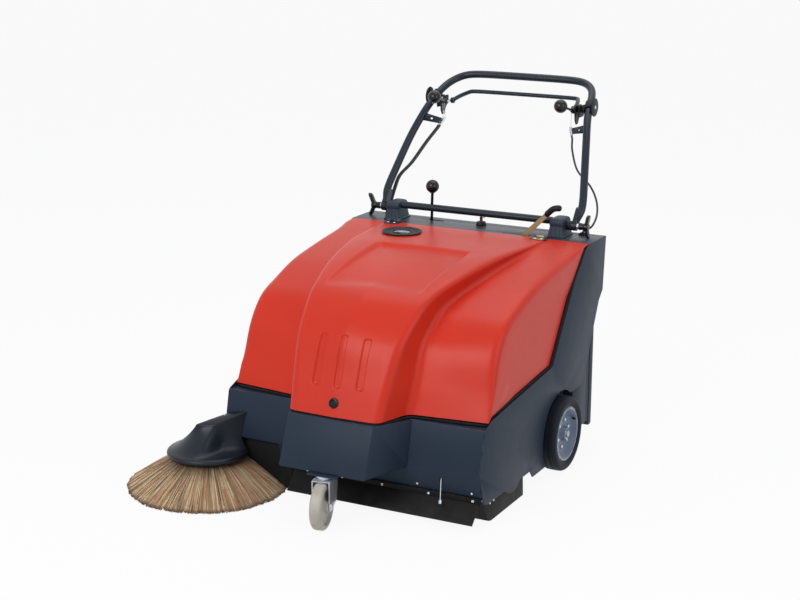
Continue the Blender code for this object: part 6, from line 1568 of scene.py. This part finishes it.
def screw_row_graph():
    tree, given = graph("screw_row", {"Start": Vector(), "Step": Vector((0.05, 0, 0)), "Count": 4,
                                      "Turn": Euler(), "Head Radius": 0.004, "Head Height": 0.0018,
                                      "Seed": 3})
    row = added(tree, "GeometryNodeMeshLine", Count=given["Count"], Start_Location=given["Start"],
                Offset=given["Step"]).outputs[0]
    head = added(tree, "GeometryNodeMeshUVSphere", Segments=16, Rings=8, Radius=1.0).outputs["Mesh"]
    wide = given["Head Radius"]
    size = added(tree, "ShaderNodeCombineXYZ", None, [wide, wide, given["Head Height"]]).outputs[0]
    head = added(tree, "GeometryNodeTransform", Geometry=head, Scale=size).outputs[0]
    heads = added(tree, "GeometryNodeInstanceOnPoints", Points=row, Instance=head,
                  Rotation=given["Turn"]).outputs[0]
    spin = chance(tree, added(tree, "GeometryNodeInputIndex").outputs[0], given["Seed"], 0, math.tau)
    spin = added(tree, "ShaderNodeCombineXYZ", Z=spin).outputs[0]
    heads = added(tree, "GeometryNodeRotateInstances", Instances=heads, Rotation=spin).outputs[0]
    heads = added(tree, "GeometryNodeRealizeInstances", Geometry=heads).outputs[0]
    return ended(tree, heads, ZINC)


SCREW_ROW = screw_row_graph()


def screw_row(name, start, end, count, axis):
    """A row of small screws on the frame between two places."""
    start, end = Vector(start), Vector(end)
    turn = Vector(axis).to_track_quat("Z", "Y").to_euler()
    heads = grown(SCREW_ROW, Start=start, Step=(end - start) / max(1, count - 1), Count=count, Turn=turn,
                  Head_Radius=0.003, Head_Height=0.0015, Seed=3)
    return piece(name, heads, ZINC, "frame")


BAR_SCREWS = (-0.12, -0.02, 0.093, 0.221, 0.34)
bar_heads = [screw_head(Vector((x, -0.0174, 0.0725)), (0, -1, 0), 0.0036, 0.0016) for x in BAR_SCREWS]
piece("flap_bar_screws", joined("screws", bar_heads), ZINC, "frame")
screw_row("skirt_screws_right", (0.3628, 0.0331, 0.0544), (0.3628, 0.0561, 0.0551), 2, (1, 0, 0))
screw_row("front_panel_screws", (0.188, -0.0128, 0.09), (0.335, -0.0128, 0.089), 2, (0, -1, 0))


# Floor, light and camera

FLOOR_GLOW = 0.92           # how much of the floor's own light the camera sees


def seen_directly(tree):
    """1 for what the camera sees itself, in a mirror or through glass."""
    path = amounts(tree, added(tree, "ShaderNodeLightPath").outputs)
    seen = path["Is Camera Ray"].worked("MAXIMUM", path["Is Camera Ray"], path["Is Glossy Ray"])
    return seen.worked("MAXIMUM", seen, path["Is Transmission Ray"])


def stage_floor():
    """A wide pale floor that keeps the machine's shadow."""
    work = bmesh.new()
    bmesh.ops.create_grid(work, x_segments=1, y_segments=1, size=90)
    mesh = plain_mesh(work, "floor")
    made, tree, shader = new_material("pale_floor")
    shader.inputs["Base Color"].default_value = (0.86, 0.86, 0.86, 1)
    shader.inputs["Roughness"].default_value = 0.65
    glow = added(tree, "ShaderNodeEmission", Color=(1, 1, 1, 1)).outputs[0]
    share = seen_directly(tree) * FLOOR_GLOW
    shown = added(tree, "ShaderNodeMixShader", None, [share, shader.outputs[0], glow])
    feed(tree, tree.nodes["Material Output"].inputs["Surface"], shown.outputs[0])
    mesh.materials.append(made)
    linked("floor", mesh)


def area_lamp(name, place, target, size, power, colour=(1, 1, 1)):
    """A soft lamp at a place, turned to a target."""
    data = bpy.data.lights.new(name, "AREA")
    data.shape = "RECTANGLE"
    data.size, data.size_y = size
    data.energy = power
    data.color = colour
    lamp = linked(name, data)
    lamp.location = place
    lamp.rotation_mode = "QUATERNION"
    lamp.rotation_quaternion = (Vector(target) - Vector(place)).to_track_quat("-Z", "Y")


def studio_world():
    """Soft light from all round, seen by the camera as plain white."""
    world = bpy.data.worlds.new("studio")
    world.use_nodes = True
    tree = world.node_tree
    lit = tree.nodes["Background"]
    lit.inputs["Color"].default_value = (0.92, 0.94, 1.0, 1)
    lit.inputs["Strength"].default_value = 0.36
    shown = added(tree, "ShaderNodeBackground", Color=(1, 1, 1, 1), Strength=1.0).outputs[0]
    chosen = added(tree, "ShaderNodeMixShader", None, [seen_directly(tree), lit.outputs[0], shown])
    feed(tree, tree.nodes["World Output"].inputs["Surface"], chosen.outputs[0])
    bpy.context.scene.world = world


def studio_camera():
    """The photograph's camera: its place in machine measures, its angles in degrees and its lens."""
    place = Vector((1.945, -3.5146, 1.5684))
    azimuth, elevation, roll = math.radians(27.288), math.radians(14.525), math.radians(0.249)
    data = bpy.data.cameras.new("camera")
    data.sensor_width = 36
    data.lens = 76.58
    camera = linked("camera", data)
    level = math.cos(elevation)
    back = Vector((math.sin(azimuth) * level, -math.cos(azimuth) * level, math.sin(elevation)))
    level_right = (-back).cross(Vector((0, 0, 1))).normalized()
    level_up = level_right.cross(-back)
    right = level_right * math.cos(roll) + level_up * math.sin(roll)
    up = level_up * math.cos(roll) - level_right * math.sin(roll)
    turn = Matrix((right, up, back)).transposed().to_4x4()
    camera.matrix_world = Matrix.Translation(place + SHIFT) @ turn
    bpy.context.scene.camera = camera


stage_floor()
area_lamp("key", (-0.5, -3.4, 2.5), (0, 0, 0.35), (2.4, 1.8), 74)
area_lamp("overhead", (0.2, 0.8, 3.4), (0, 0, 0.4), (3.0, 2.4), 34)
area_lamp("side_fill", (3.0, -0.6, 1.6), (0.1, 0.1, 0.4), (1.8, 1.8), 20, (0.9, 0.95, 1.0))
studio_world()
studio_camera()
bpy.context.scene.view_settings.view_transform = "Standard"
